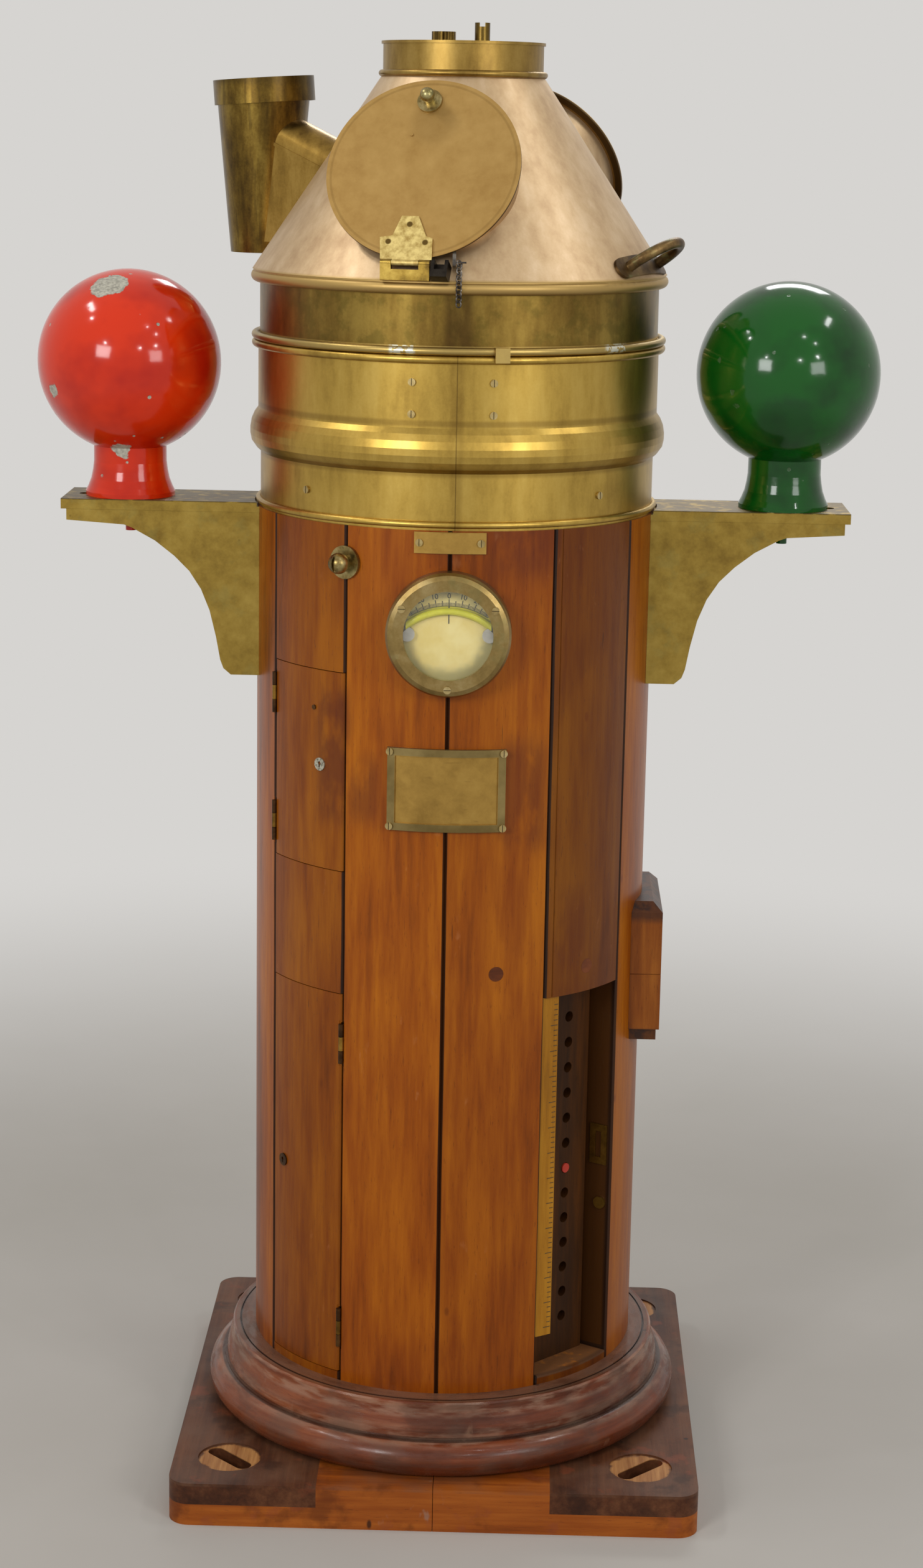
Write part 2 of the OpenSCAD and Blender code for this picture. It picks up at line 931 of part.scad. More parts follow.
module screw_head() {
    difference() {
        cylinder(r = screw_r, h = 1.8, $fn = 32);
        translate([-screw_r, -0.4, 1])
            cube([2 * screw_r, 0.8, 2]);
    }
}

module fitting_screws() {
    plate_a = asin((plate_w / 2 - 3.5) / ped_r);
    small_a = asin((small_plate_w / 2 - 5) / ped_r);
    bearing_a = 11.1;
    foot_a = 45.5;
    foot_z = 27;
    color("#c0b080") {
        for (s = [-1, 1]) {
            for (t = [-1, 1])
                radial_screw(s * plate_a, plate_z + t * (plate_h / 2 - 3.5), ped_r + 4);
            radial_screw(s * small_a, small_plate_z, ped_r + 2);
            for (a = [0, 180])
                for (t = [-14, 14])
                    radial_screw(a + s * bearing_a, ped_top + gimbal_z + t, case_r);
            for (a = [0, 180])
                radial_screw(a + s * foot_a, ped_top + foot_z, case_low_r);
        }
        clino_place()
            for (a = [30, 150, 270])
                translate([(clino_r - 8) * cos(a), -(clino_r - 8) * sin(a), 0])
                    rotate([180, 0, 0])
                        screw_head();
    }
}

// Bowl case
module bowl_case() {
    swell_z = gimbal_z - 66;
    swell = [[2, 4], [6.2, 10], [7.4, 16], [7.4, 22], [6.2, 29], [3.6, 35], [0, 40]];
    outer = concat([[case_low_r, 4], [case_low_r, swell_z]],
        [for (p = swell) [case_r + p[0], swell_z + p[1]]], [[case_r, case_h + 1]]);
    last = len(outer) - 1;
    inner = [for (i = [0:last]) [outer[last - i][0] - sheet_t, outer[last - i][1]]];
    color("#a08a50")
        translate([0, 0, ped_top])
            rotate_extrude()
                union() {
                    polygon(concat(outer, inner));
                    translate([case_low_r + 1.5, 5])
                        circle(3, $fn = 24);
                    translate([case_ring_r, case_h])
                        circle(wire_r, $fn = 24);
                    translate([case_low_r - 8, 0])
                        square([9.5, 3]);
                    translate([case_low_r - sheet_t, 2])
                        square([sheet_t, 4]);
                }
}

module gimbal_bearings() {
    color("#8a7640")
        for (a = [0, 180])
            intersection() {
                at_az(a, 0, ped_top + gimbal_z)
                    difference() {
                        translate([bearing_x, -bearing_w / 2, -bearing_h / 2])
                            cube([40, bearing_w, bearing_h]);
                        rotate([0, 90, 0])
                            cylinder(r = pin_r + pin_clear, h = gimbal_pin_end + 2, $fn = 32);
                    }
                translate([0, 0, ped_top])
                    cylinder(r = case_in, h = case_h);
            }
}

module gimbal_ring() {
    color("#b09a5c")
        translate([0, 0, ped_top + gimbal_z])
            union() {
                difference() {
                    translate([0, 0, -ring_h / 2])
                        ring(ring_r, ring_r + ring_t, ring_h);
                    rotate([0, 90, 0])
                        translate([0, 0, -cut_far])
                            cylinder(r = pin_r + pin_clear, h = 2 * cut_far, $fn = 32);
                }
                for (s = [-1, 1])
                    rotate([s * 90, 0, 0])
                        translate([0, 0, ring_r + 2])
                            cylinder(r = pin_r, h = gimbal_pin_end - ring_r - 2, $fn = 32);
            }
}

pivot_top = 13.4;

module compass_bowl() {
    wall = 3;
    rise = bowl_rise;
    deep = bowl_deep;
    floor_r = bowl_r - 66;
    flank_r = bowl_r - 28;
    color("#a08a50")
        translate([0, 0, ped_top + gimbal_z])
            union() {
                rotate_extrude()
                    polygon([[0, -deep], [floor_r, -deep], [flank_r, -52], [bowl_r, -24], [bowl_r, rise],
                        [bowl_r + 3, rise], [bowl_r + 3, rise + 3], [bowl_r - 6, rise + 3],
                        [bowl_r - 6, rise + 0.2], [bowl_r - wall, rise + 0.2], [bowl_r - wall, rise - 5],
                        [bowl_r - wall - 5, rise - 5],
                        [bowl_r - wall - 5, rise - 8], [bowl_r - wall, rise - 8], [bowl_r - wall, -22],
                        [flank_r - 2, -48], [floor_r - 1, 4 - deep], [12, 4 - deep], [4, -10],
                        [1.2, pivot_top], [0, pivot_top]]);
                for (s = [-1, 1])
                    rotate([0, s * 90, 0])
                        translate([0, 0, bowl_r - 2])
                            cylinder(r = pin_r, h = ring_r + ring_t - bowl_r + 1, $fn = 32);
            }
}

module compass_glass() {
    color("#d8e8e8")
        translate([0, 0, ped_top + gimbal_z + bowl_rise - 4.9])
            cylinder(r = bowl_r - 3.1, h = 4.9);
}

module compass_card() {
    color("#f0ead8")
        translate([0, 0, ped_top + gimbal_z])
            difference() {
                union() {
                    translate([0, 0, 12])
                        cylinder(r = card_r, h = 1.5);
                    translate([0, 0, 6])
                        cylinder(r = 9, h = 12, $fn = 32);
                }
                translate([0, 0, 5])
                    cylinder(r = 4, h = pivot_top - 4.6, $fn = 32);
            }
}

// Heeling corrector
module heeling_tube() {
    color("#a08a50")
        translate([0, 0, shelf_z + shelf_t])
            ring(tube_in, tube_r, ped_top + tube_up - shelf_z - shelf_t);
}

module heeling_bucket() {
    color("#8a7640")
        translate([0, 0, (shelf_z + ped_top) / 2 - 20])
            difference() {
                cylinder(r = tube_in - 0.5, h = 60);
                translate([0, 0, 8])
                    cylinder(r = tube_in - 3, h = 60);
            }
    color("#b03020")
        translate([0, 0, (shelf_z + ped_top) / 2 - 12])
            cylinder(r = 8, h = 44, $fn = 32);
}

// Hood
module cone_solid(grow) {
    up = grow / cos(cone_lean);
    translate([0, 0, cone_z])
        cylinder(r1 = cone_r1 + up, r2 = cone_r2 + up, h = cone_h);
}

module window_place(a) {
    at_az(a, wdoor_out, wdoor_z)
        rotate([0, 90 - wdoor_lean, 0])
            children();
}

module duct_solid(r, low) {
    axis_z = duct_z - duct_r;
    slope = tan(duct_slope);
    near = duct_near;
    far = duct_far;
    translate([duct_x, 0, axis_z])
        rotate([0, -90 - duct_slope, 0])
            translate([0, 0, -duct_tail])
                cylinder(r = r, h = duct_len);
    rotate([90, 0, 0])
        translate([0, 0, -r])
            linear_extrude(2 * r)
                polygon([[near, low], [far, low], [far, axis_z + (far - duct_x) * slope],
                    [near, axis_z - (duct_x - near) * slope]]);
}

module lamp_solid(grow) {
    at_az(lamp_a, lamp_out, lamp_z)
        cylinder(r1 = lamp_r1 + grow, r2 = lamp_r2 + grow, h = lamp_h);
}

module hood_cone() {
    color("#b89c70")
        difference() {
            union() {
                difference() {
                    cone_solid(0);
                    translate([0, 0, -sheet_t * 1.2])
                        cone_solid(0);
                    translate([0, 0, cone_top - 4])
                        cylinder(r = cone_r2 - sheet_t, h = 10);
                }
                translate([0, 0, hood_bead_z])
                    rotate_extrude()
                        difference() {
                            union() {
                                translate([cone_r1 - bead_r + bead_out, 0])
                                    circle(bead_r, $fn = 32);
                                translate([cone_r1 - 5, 2])
                                    square([4, 5]);
                            }
                            translate([0, -10])
                                square([skirt_r + 0.05, 20]);
                        }
            }
            for (a = [front_a, rear_a])
                window_place(a)
                    translate([0, 0, -wframe_depth - wframe_t])
                        cylinder(r = wframe_r - wframe_t, h = 2 * wframe_depth);
            intersection() {
                at_az(lamp_a)
                    duct_solid(duct_r - 3, cone_z + 40);
                at_az(lamp_a)
                    translate([duct_near - 10, -duct_box / 2, cone_z])
                        cube([duct_box, duct_box, cone_h]);
            }
        }
}

module hood_skirt() {
    lug_a = 12.7;
    color("#a5843c") {
        translate([0, 0, hood_z])
            rotate_extrude()
                union() {
                    translate([skirt_r - sheet_t, 0])
                        square([sheet_t, skirt_h + 2]);
                    translate([skirt_r - sheet_t - 1.6, -12])
                        square([2, 24]);
                    translate([skirt_r + 4.1, 0])
                        circle(wire_r, $fn = 24);
                    translate([skirt_r - 1, -1.2])
                        square([2.5, 2.4]);
                }
        difference() {
            at_az(lug_a, skirt_r + 5, hood_z - 9)
                translate([0, -6.5, 0])
                    cube([7, 13, 13]);
            translate([0, 0, hood_z - 20])
                cylinder(r = skirt_r + 8.2, h = 20 - wire_r + 0.2);
        }
    }
}

module hood_collar() {
    color("#a08a50")
        translate([0, 0, collar_z])
            difference() {
                rotate_extrude()
                    union() {
                        translate([collar_r + 1, 3])
                            circle(3, $fn = 24);
                        translate([collar_r - sheet_t, 0])
                            square([sheet_t, collar_h]);
                        translate([0, collar_h - 1])
                            square([collar_r + 1.6, 2.5]);
                    }
                translate([top_screw_x, 0, collar_h - 2])
                    cylinder(r = top_pin_r + pin_clear, h = 6, $fn = 32);
            }
}

module knurled_cap() {
    grooves = 20;
    color("#6e6436")
        translate([top_screw_x, 0, collar_z + collar_h + 1.6])
            union() {
                difference() {
                    cylinder(r = 11, h = 9, $fn = 48);
                    for (i = [0:grooves - 1])
                        rotate([0, 0, i * 360 / grooves])
                            translate([11, 0, -1])
                                cylinder(r = 0.8, h = 11, $fn = 4);
                }
                translate([0, 0, -4])
                    cylinder(r = top_pin_r, h = 5, $fn = 32);
                translate([0, 0, -5])
                    cylinder(r = 5, h = 2, $fn = 32);
            }
}

module fork_post() {
    color("#6e5a2c")
        translate([fork_x, 0, collar_z + collar_h + 1.5])
            difference() {
                cylinder(r = 7, h = 17.5, $fn = 32);
                translate([-2.5, -8, 14])
                    cube([5, 16, 5]);
            }
}

// Round windows of the hood
module window_frame(a) {
    difference() {
        window_place(a) {
            translate([0, 0, -wframe_depth])
                ring(wframe_r - wframe_t, wframe_r, wframe_depth - wdoor_t - 0.5);
            translate([0, 0, -11])
                ring(wframe_r - 8, wframe_r - wframe_t + 0.1, 3);
        }
        cone_solid(0);
        translate([0, 0, cone_z - 100])
            cylinder(r = cone_r1, h = 100 + eps);
    }
}

module window_frames() {
    color("#b89c70") {
        window_frame(front_a);
        window_frame(rear_a);
    }
}

module window_glasses() {
    color("#d8e8e8")
        for (a = [front_a, rear_a])
            window_place(a)
                translate([0, 0, -8])
                    cylinder(r = wframe_r - wframe_t - 0.2, h = 3);
}

module wdoor_leaf() {
    t = 2;
    union() {
        linear_extrude(t)
            polygon([[wdoor_r - 40, -12], [wdoor_r - 40, 3], [wdoor_r - 21, 12], [wdoor_r - 19, 18],
                [wdoor_hinge_v - 3.3, 20], [wdoor_hinge_v - 3.3, -26], [wdoor_r - 19, -29],
                [wdoor_r - 21, -18]]);
        translate([wdoor_hinge_v, -15, wdoor_hinge_n])
            rotate([-90, 0, 0])
                cylinder(r = wdoor_barrel_r, h = 24, $fn = 24);
        translate([wdoor_hinge_v - 4, -15, 0])
            cube([3, 24, t]);
    }
}

module round_door(a) {
    color("#b08c54")
        window_place(a)
            union() {
                difference() {
                    translate([0, 0, -wdoor_t])
                        cylinder(r = wdoor_r, h = wdoor_t);
                    translate([wdoor_knob[0], wdoor_knob[1], -10])
                        cylinder(r = wdoor_pin_r + pin_clear, h = 20, $fn = 32);
                }
                wdoor_leaf();
                translate([wdoor_dot[0], wdoor_dot[1], 0])
                    cylinder(r = 1.6, h = 0.8, $fn = 16);
            }
}

module front_door() {
    round_door(front_a);
}

module rear_door() {
    round_door(rear_a);
}

module door_knob(a) {
    color("#b8a060")
        window_place(a)
            translate([wdoor_knob[0], wdoor_knob[1], 0])
                union() {
                    translate([0, 0, 0.3])
                        cylinder(r = 11, h = 2, $fn = 32);
                    translate([0, 0, -wdoor_t - 1.5])
                        cylinder(r = wdoor_pin_r, h = wdoor_t + 6, $fn = 32);
                    translate([0, 0, -wdoor_t - 1.8])
                        cylinder(r = 7, h = 1.5, $fn = 32);
                    translate([0, 0, 2])
                        cylinder(r = 5, h = 8, $fn = 32);
                    translate([0, 0, 12])
                        sphere(r = 6.5, $fn = 32);
                }
}

module front_door_knob() {
    door_knob(front_a);
}

module rear_door_knob() {
    door_knob(rear_a);
}

// Room over the hood bead, kept clear of what stands on the cone
module bead_room() {
    translate([0, 0, hood_bead_z - 20])
        cylinder(r = cone_r1 + 3, h = cone_z - hood_bead_z + 20 + eps);
}

module hinge_leaf(a) {
    difference() {
        window_place(a)
            for (s = [[-25, -15.4], [9.4, 19]])
                union() {
                    translate([wdoor_hinge_v, s[0], wdoor_hinge_n])
                        rotate([-90, 0, 0])
                            cylinder(r = wdoor_barrel_r, h = s[1] - s[0], $fn = 24);
                    rotate([90, 0, 0])
                        translate([0, 0, -s[1]])
                            linear_extrude(s[1] - s[0])
                                polygon([[wdoor_hinge_v - 1, 1], [wdoor_hinge_v + 1, 4.3],
                                    [wdoor_hinge_v + 14, -3.2], [wdoor_hinge_v + 14, -9],
                                    [wdoor_hinge_v + 6, -5]]);
                }
        cone_solid(0);
        bead_room();
    }
    difference() {
        window_place(a)
            rotate([90, 0, 0])
                translate([0, 0, -19])
                    linear_extrude(44)
                        polygon([[wdoor_hinge_v + 6, -1.2], [wdoor_hinge_v + 6, 1.4],
                            [wdoor_hinge_v + 14, -3.2], [wdoor_hinge_v + 14, -9]]);
        cone_solid(0);
        bead_room();
    }
}

module hinge_leaves() {
    color("#b89850") {
        hinge_leaf(front_a);
        hinge_leaf(rear_a);
    }
}

// Dark spring clip with a brass hook beside the front hinge
module catch_clip() {
    color("#1e1a16")
        difference() {
            window_place(front_a)
                translate([0, 20.5, -14])
                    difference() {
                        translate([wdoor_hinge_v - 3, 0, 0])
                            cube([16, 15, 18]);
                        translate([wdoor_hinge_v - 4, 3, 9])
                            cube([10, 9, 20]);
                    }
            cone_solid(0);
            bead_room();
        }
}

// Short chain that hangs over the hood bead, from a lug with a peg
module retaining_chain() {
    links = 10;
    sloped = 4;
    pitch = 4.1;
    link_r = 2.9;
    wire = 0.7;
    chain_x = cone_r1 * sin(front_a) + 43.92;
    stand = cone_r1 + 5.4;
    foot = hood_bead_z + 8;
    top = sloped * pitch;
    color("#4a443c")
        for (i = [0:links - 1]) {
            run = (sloped - i) * pitch;
            tilt = run > 0 ? cone_lean : run == 0 ? cone_lean / 2 : 0;
            translate([chain_x, -stand + max(0, run) * sin(tilt), foot + run * cos(tilt)])
                rotate([-tilt, 0, 0])
                    rotate([0, 0, 45 + ((i + 1) % 2) * 90])
                        rotate([0, 90, 0])
                            rotate_extrude()
                                translate([link_r, 0])
                                    circle(wire, $fn = 8);
        }
    color("#b8a060")
        difference() {
            translate([chain_x, -stand + top * sin(cone_lean), foot + top * cos(cone_lean)])
                rotate([-cone_lean, 0, 0]) {
                    translate([-6, -3, -4])
                        cube([3, 20, 14]);
                    translate([-6, 0, 1])
                        rotate([0, 90, 0])
                            cylinder(r = 0.8, h = 12, $fn = 24);
                }
            cone_solid(0);
            bead_room();
        }
}

// Fixed bow handle on an oval plate
module handle_place() {
    at_az(handle_a, cone_r1 - (handle_z - cone_z) * cone_slope, handle_z)
        rotate([0, 90 - cone_lean, 0])
            children();
}

module handle_bow() {
    leg = handle_reach - handle_w / 2;
    leg_in = 8;
    union() {
        translate([0, 0, leg])
            rotate([0, 90, 0])
                intersection() {
                    rotate_extrude()
                        translate([handle_w / 2, 0])
                            circle(handle_d / 2, $fn = 32);
                    translate([-handle_w, -handle_w, -handle_w])
                        cube([handle_w, 2 * handle_w, 2 * handle_w]);
                }
        for (s = [-1, 1])
            translate([0, s * handle_w / 2, -leg_in])
                cylinder(r = handle_d / 2, h = leg + leg_in, $fn = 32);
    }
}

module hood_handle() {
    plate_half = handle_w / 2 + 9.5;
    plate_r = handle_d;
    color("#8a7a44")
        difference() {
            union() {
                handle_place()
                    handle_bow();
                intersection() {
                    handle_place()
                        translate([0, 0, -20])
                            linear_extrude(40)
                                union() {
                                    square([2 * plate_r, 2 * plate_half], center = true);
                                    for (s = [-1, 1])
                                        translate([0, s * plate_half])
                                            circle(plate_r);
                                }
                    cone_solid(2.5);
                }
            }
            cone_solid(0);
            bead_room();
        }
}

// Lamp and its duct
module lamp_duct() {
    axis_z = duct_z - duct_r;
    color("#8a7038")
        difference() {
            at_az(lamp_a)
                difference() {
                    union() {
                        duct_solid(duct_r, cone_z + 20);
                        for (s = [-1, 1])
                            translate([duct_x, s * duct_r, axis_z])
                                rotate([0, -90 - duct_slope, 0])
                                    translate([-1.5, -1, -duct_tail])
                                        cube([3, 2, duct_len]);
                    }
                    translate([0, 0, -eps])
                        duct_solid(duct_r - lamp_wall, cone_z + 10);
                }
            cone_solid(0);
            lamp_solid(0);
        }
}

module lamp_tube() {
    color("#6a5422")
        difference() {
            lamp_solid(0);
            translate([0, 0, sheet_t])
                at_az(lamp_a, lamp_out, lamp_z)
                    cylinder(r1 = lamp_r1 - lamp_wall, r2 = lamp_r2 - lamp_wall, h = lamp_h);
            intersection() {
                at_az(lamp_a)
                    duct_solid(duct_r - 3, cone_z + 50);
                at_az(lamp_a)
                    translate([duct_near - 10, -duct_box / 2, cone_z])
                        cube([lamp_out - duct_near + 10, duct_box, cone_h]);
            }
            cone_solid(0.2);
        }
}

module cap_place() {
    at_az(lamp_a, lamp_out, lamp_z + lamp_h + 3.9)
        rotate([0, 0, 90 - lamp_a])
            rotate([0, -cap_lean, 0])
                children();
}

module lamp_cap() {
    r = lamp_r2 + 2.8;
    t = 1.3;
    skirt = 22;
    color("#6a5422")
        cap_place()
            rotate_extrude()
                polygon([[0, 1], [r, 1], [r, -skirt], [r - t, -skirt], [r - t, -0.4], [0, -0.4]]);
}

module oil_lamp() {
    font_r = lamp_r1 - 4;
    color("#8a7038")
        at_az(lamp_a, lamp_out, lamp_z + sheet_t)
            rotate_extrude()
                polygon([[0, 0], [font_r, 0], [font_r, 30], [font_r - 5, 36], [12, 38], [12, 46],
                    [16, 48], [16, 54], [5, 58], [4, 66], [0, 66]]);
}

// Brackets of the corrector spheres
module bracket_profile() {
    end = bracket_x - ped_r - 5;
    deep = bracket_h;
    translate([ped_r, 0])
        polygon([[-12, 0], [end, 0], [end, -20], [end - 54, -23.5], [end - 61, -26], [93, -38],
            [75, -52], [61, -66], [50, -83], [42, -103], [36, 36 - deep], [32, 14 - deep],
            [29, 6 - deep], [22, -deep], [-12, -deep]]);
}

module track_plan(w) {
    x0 = sphere_x - track_in;
    x1 = sphere_x + track_out;
    union() {
        translate([x0, -w / 2])
            square([x1 - x0, w]);
        for (x = [x0, x1])
            translate([x, 0])
                circle(w / 2, $fn = 32);
    }
}

module bracket_body() {
    difference() {
        translate([0, 0, plate_top])
            union() {
                translate([ped_r - 12, -bracket_w / 2, -bracket_t])
                    cube([bracket_x - ped_r + 12, bracket_w, bracket_t]);
                for (y = [-bracket_w / 2 + 1, bracket_w / 2 - 1 - web_t])
                    translate([0, y + web_t, 0])
                        rotate([90, 0, 0])
                            linear_extrude(web_t)
                                bracket_profile();
                translate([ped_r - 12, -bracket_w / 2 + 1, -bracket_h])
                    cube([20, bracket_w - 2, bracket_h]);
            }
        cylinder(r = ped_r, h = ped_top);
        translate([0, 0, ped_top - 1])
            cylinder(r = ped_r + 2.4, h = 20);
        translate([0, 0, plate_top - bracket_t - 1])
            linear_extrude(bracket_t + 2)
                track_plan(track_w);
    }
}

module bracket_right() {
    color("#82702e")
        bracket_body();
}

module bracket_left() {
    color("#82702e")
        mirror([1, 0, 0])
            bracket_body();
}

module sphere_ball(x) {
    translate([x, 0, sphere_z])
        sphere(r = sphere_r, $fn = 96);
}

module sphere_right() {
    color("#145c26")
        sphere_ball(sphere_x);
}

module sphere_left() {
    color("#c4361a")
        sphere_ball(-sphere_x);
}

module sphere_foot(x) {
    lift = 0.1;
    top = sphere_up - sphere_r + 20.5;
    color(x > 0 ? "#145c26" : "#c4361a")
        difference() {
            translate([x, 0, plate_top])
                union() {
                    rotate_extrude()
                        polygon([[0, lift], [42, lift], [42, 4], [39.5, 9], [36.8, 16], [35.2, 24],
                            [34.2, 32], [34, top], [0, top]]);
                    translate([0, 0, -34])
                        cylinder(r = 5, h = 40, $fn = 32);
                    translate([0, 0, -bracket_t - 3.1])
                        cylinder(r = 15, h = 3, $fn = 48);
                    translate([0, 0, -bracket_t - 12])
                        cylinder(r = 10, h = 9, $fn = 6);
                }
            sphere_ball(x);
        }
}

module sphere_foot_right() {
    sphere_foot(sphere_x);
}

module sphere_foot_left() {
    sphere_foot(-sphere_x);
}

base_side_rails();
base_cross_rails();
base_torus();
base_ogee();
staves();
bay_staves();
upper_door();
upper_door_brass();
lower_door();
lower_door_brass();
pedestal_floor();
pedestal_shelf();
pedestal_deck();
rack_boards();
corrector_magnet();
scale_strip();
jamb_fittings();
wood_plugs();
side_block();
pedestal_knob();
large_plate();
small_plate();
clinometer_case();
clinometer_dial();
clinometer_tube();
clinometer_glass();
fitting_screws();
bowl_case();
gimbal_bearings();
gimbal_ring();
compass_bowl();
compass_glass();
compass_card();
heeling_tube();
heeling_bucket();
hood_cone();
hood_skirt();
hood_collar();
knurled_cap();
fork_post();
window_frames();
window_glasses();
front_door();
front_door_knob();
rear_door();
rear_door_knob();
hinge_leaves();
catch_clip();
retaining_chain();
hood_handle();
lamp_duct();
lamp_tube();
lamp_cap();
oil_lamp();
bracket_left();
bracket_right();
sphere_left();
sphere_right();
sphere_foot_left();
sphere_foot_right();
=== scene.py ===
"""Looks of a ship binnacle: camera, light, procedural finishes and fine detail round the CAD frame.

Metres throughout. Azimuth is counted from the front (-Y), positive towards +X, in degrees.
"""
import math

import bmesh
import bpy
from mathutils import Matrix, Vector


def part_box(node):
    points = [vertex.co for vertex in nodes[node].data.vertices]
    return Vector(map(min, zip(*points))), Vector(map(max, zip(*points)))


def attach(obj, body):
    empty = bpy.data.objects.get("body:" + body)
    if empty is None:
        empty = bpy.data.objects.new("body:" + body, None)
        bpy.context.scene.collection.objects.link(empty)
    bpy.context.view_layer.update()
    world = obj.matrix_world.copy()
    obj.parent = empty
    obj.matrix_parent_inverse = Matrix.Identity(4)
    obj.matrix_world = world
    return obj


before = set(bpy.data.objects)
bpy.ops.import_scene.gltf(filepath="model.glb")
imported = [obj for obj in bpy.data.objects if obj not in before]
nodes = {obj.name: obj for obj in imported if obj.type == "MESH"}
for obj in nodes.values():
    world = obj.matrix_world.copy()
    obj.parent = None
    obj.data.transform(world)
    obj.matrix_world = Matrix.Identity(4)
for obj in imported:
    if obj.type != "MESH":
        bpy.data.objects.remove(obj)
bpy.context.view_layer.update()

# Places read from the frame
PED_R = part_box("staves")[1].x
SILL_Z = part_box("lower_door")[0].z
TORUS_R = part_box("base_torus")[1].x
TORUS_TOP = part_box("base_torus")[1].z
OGEE_TOP_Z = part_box("base_ogee")[1].z
BOARD_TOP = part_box("base_side_rails")[1].z
BLOCK_LOW, BLOCK_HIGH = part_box("side_block")
PLATE_LOW, PLATE_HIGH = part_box("large_plate")
DIAL_LOW, DIAL_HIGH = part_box("clinometer_dial")
CASE_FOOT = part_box("bowl_case")[0].z
SKIRT_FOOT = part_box("hood_skirt")[0].z
CONE_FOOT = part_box("hood_cone")[0].z
LAMP_CAP_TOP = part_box("lamp_cap")[1].z
BRACKET_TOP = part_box("bracket_left")[1].z
CARD_LOW, CARD_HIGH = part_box("compass_card")
STRIP_LOW, STRIP_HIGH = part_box("scale_strip")
LEFT_SPHERE = sum(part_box("sphere_left"), Vector()) / 2
RIGHT_SPHERE = sum(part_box("sphere_right"), Vector()) / 2

# Angles in degrees
FULL_TURN = 360.0
SMOOTH_DEG = 32.0


def around(azimuth, radius, z):
    """Point at an azimuth about the pedestal axis."""
    a = math.radians(azimuth)
    return Vector((radius * math.sin(a), -radius * math.cos(a), z))


def srgb(r, g, b):
    """Colour from 0 to 255 screen values, as a linear colour."""
    def linear(v):
        v = v / 255
        return v / 12.92 if v <= 0.04045 else ((v + 0.055) / 1.055) ** 2.4
    return (linear(r), linear(g), linear(b), 1.0)


def tones(*colours):
    """Pale, middle and deep tone of a material, from screen values."""
    return [srgb(*colour) for colour in colours]


def drawn_out(along, share):
    """Noise scale that draws spots out along an axis; share is their width over their length."""
    axis = {"x": 0, "round": 0, "y": 1, "z": 2}
    scale = [1, 1, 1]
    if along in axis:
        scale[axis[along]] = share
    return tuple(scale)


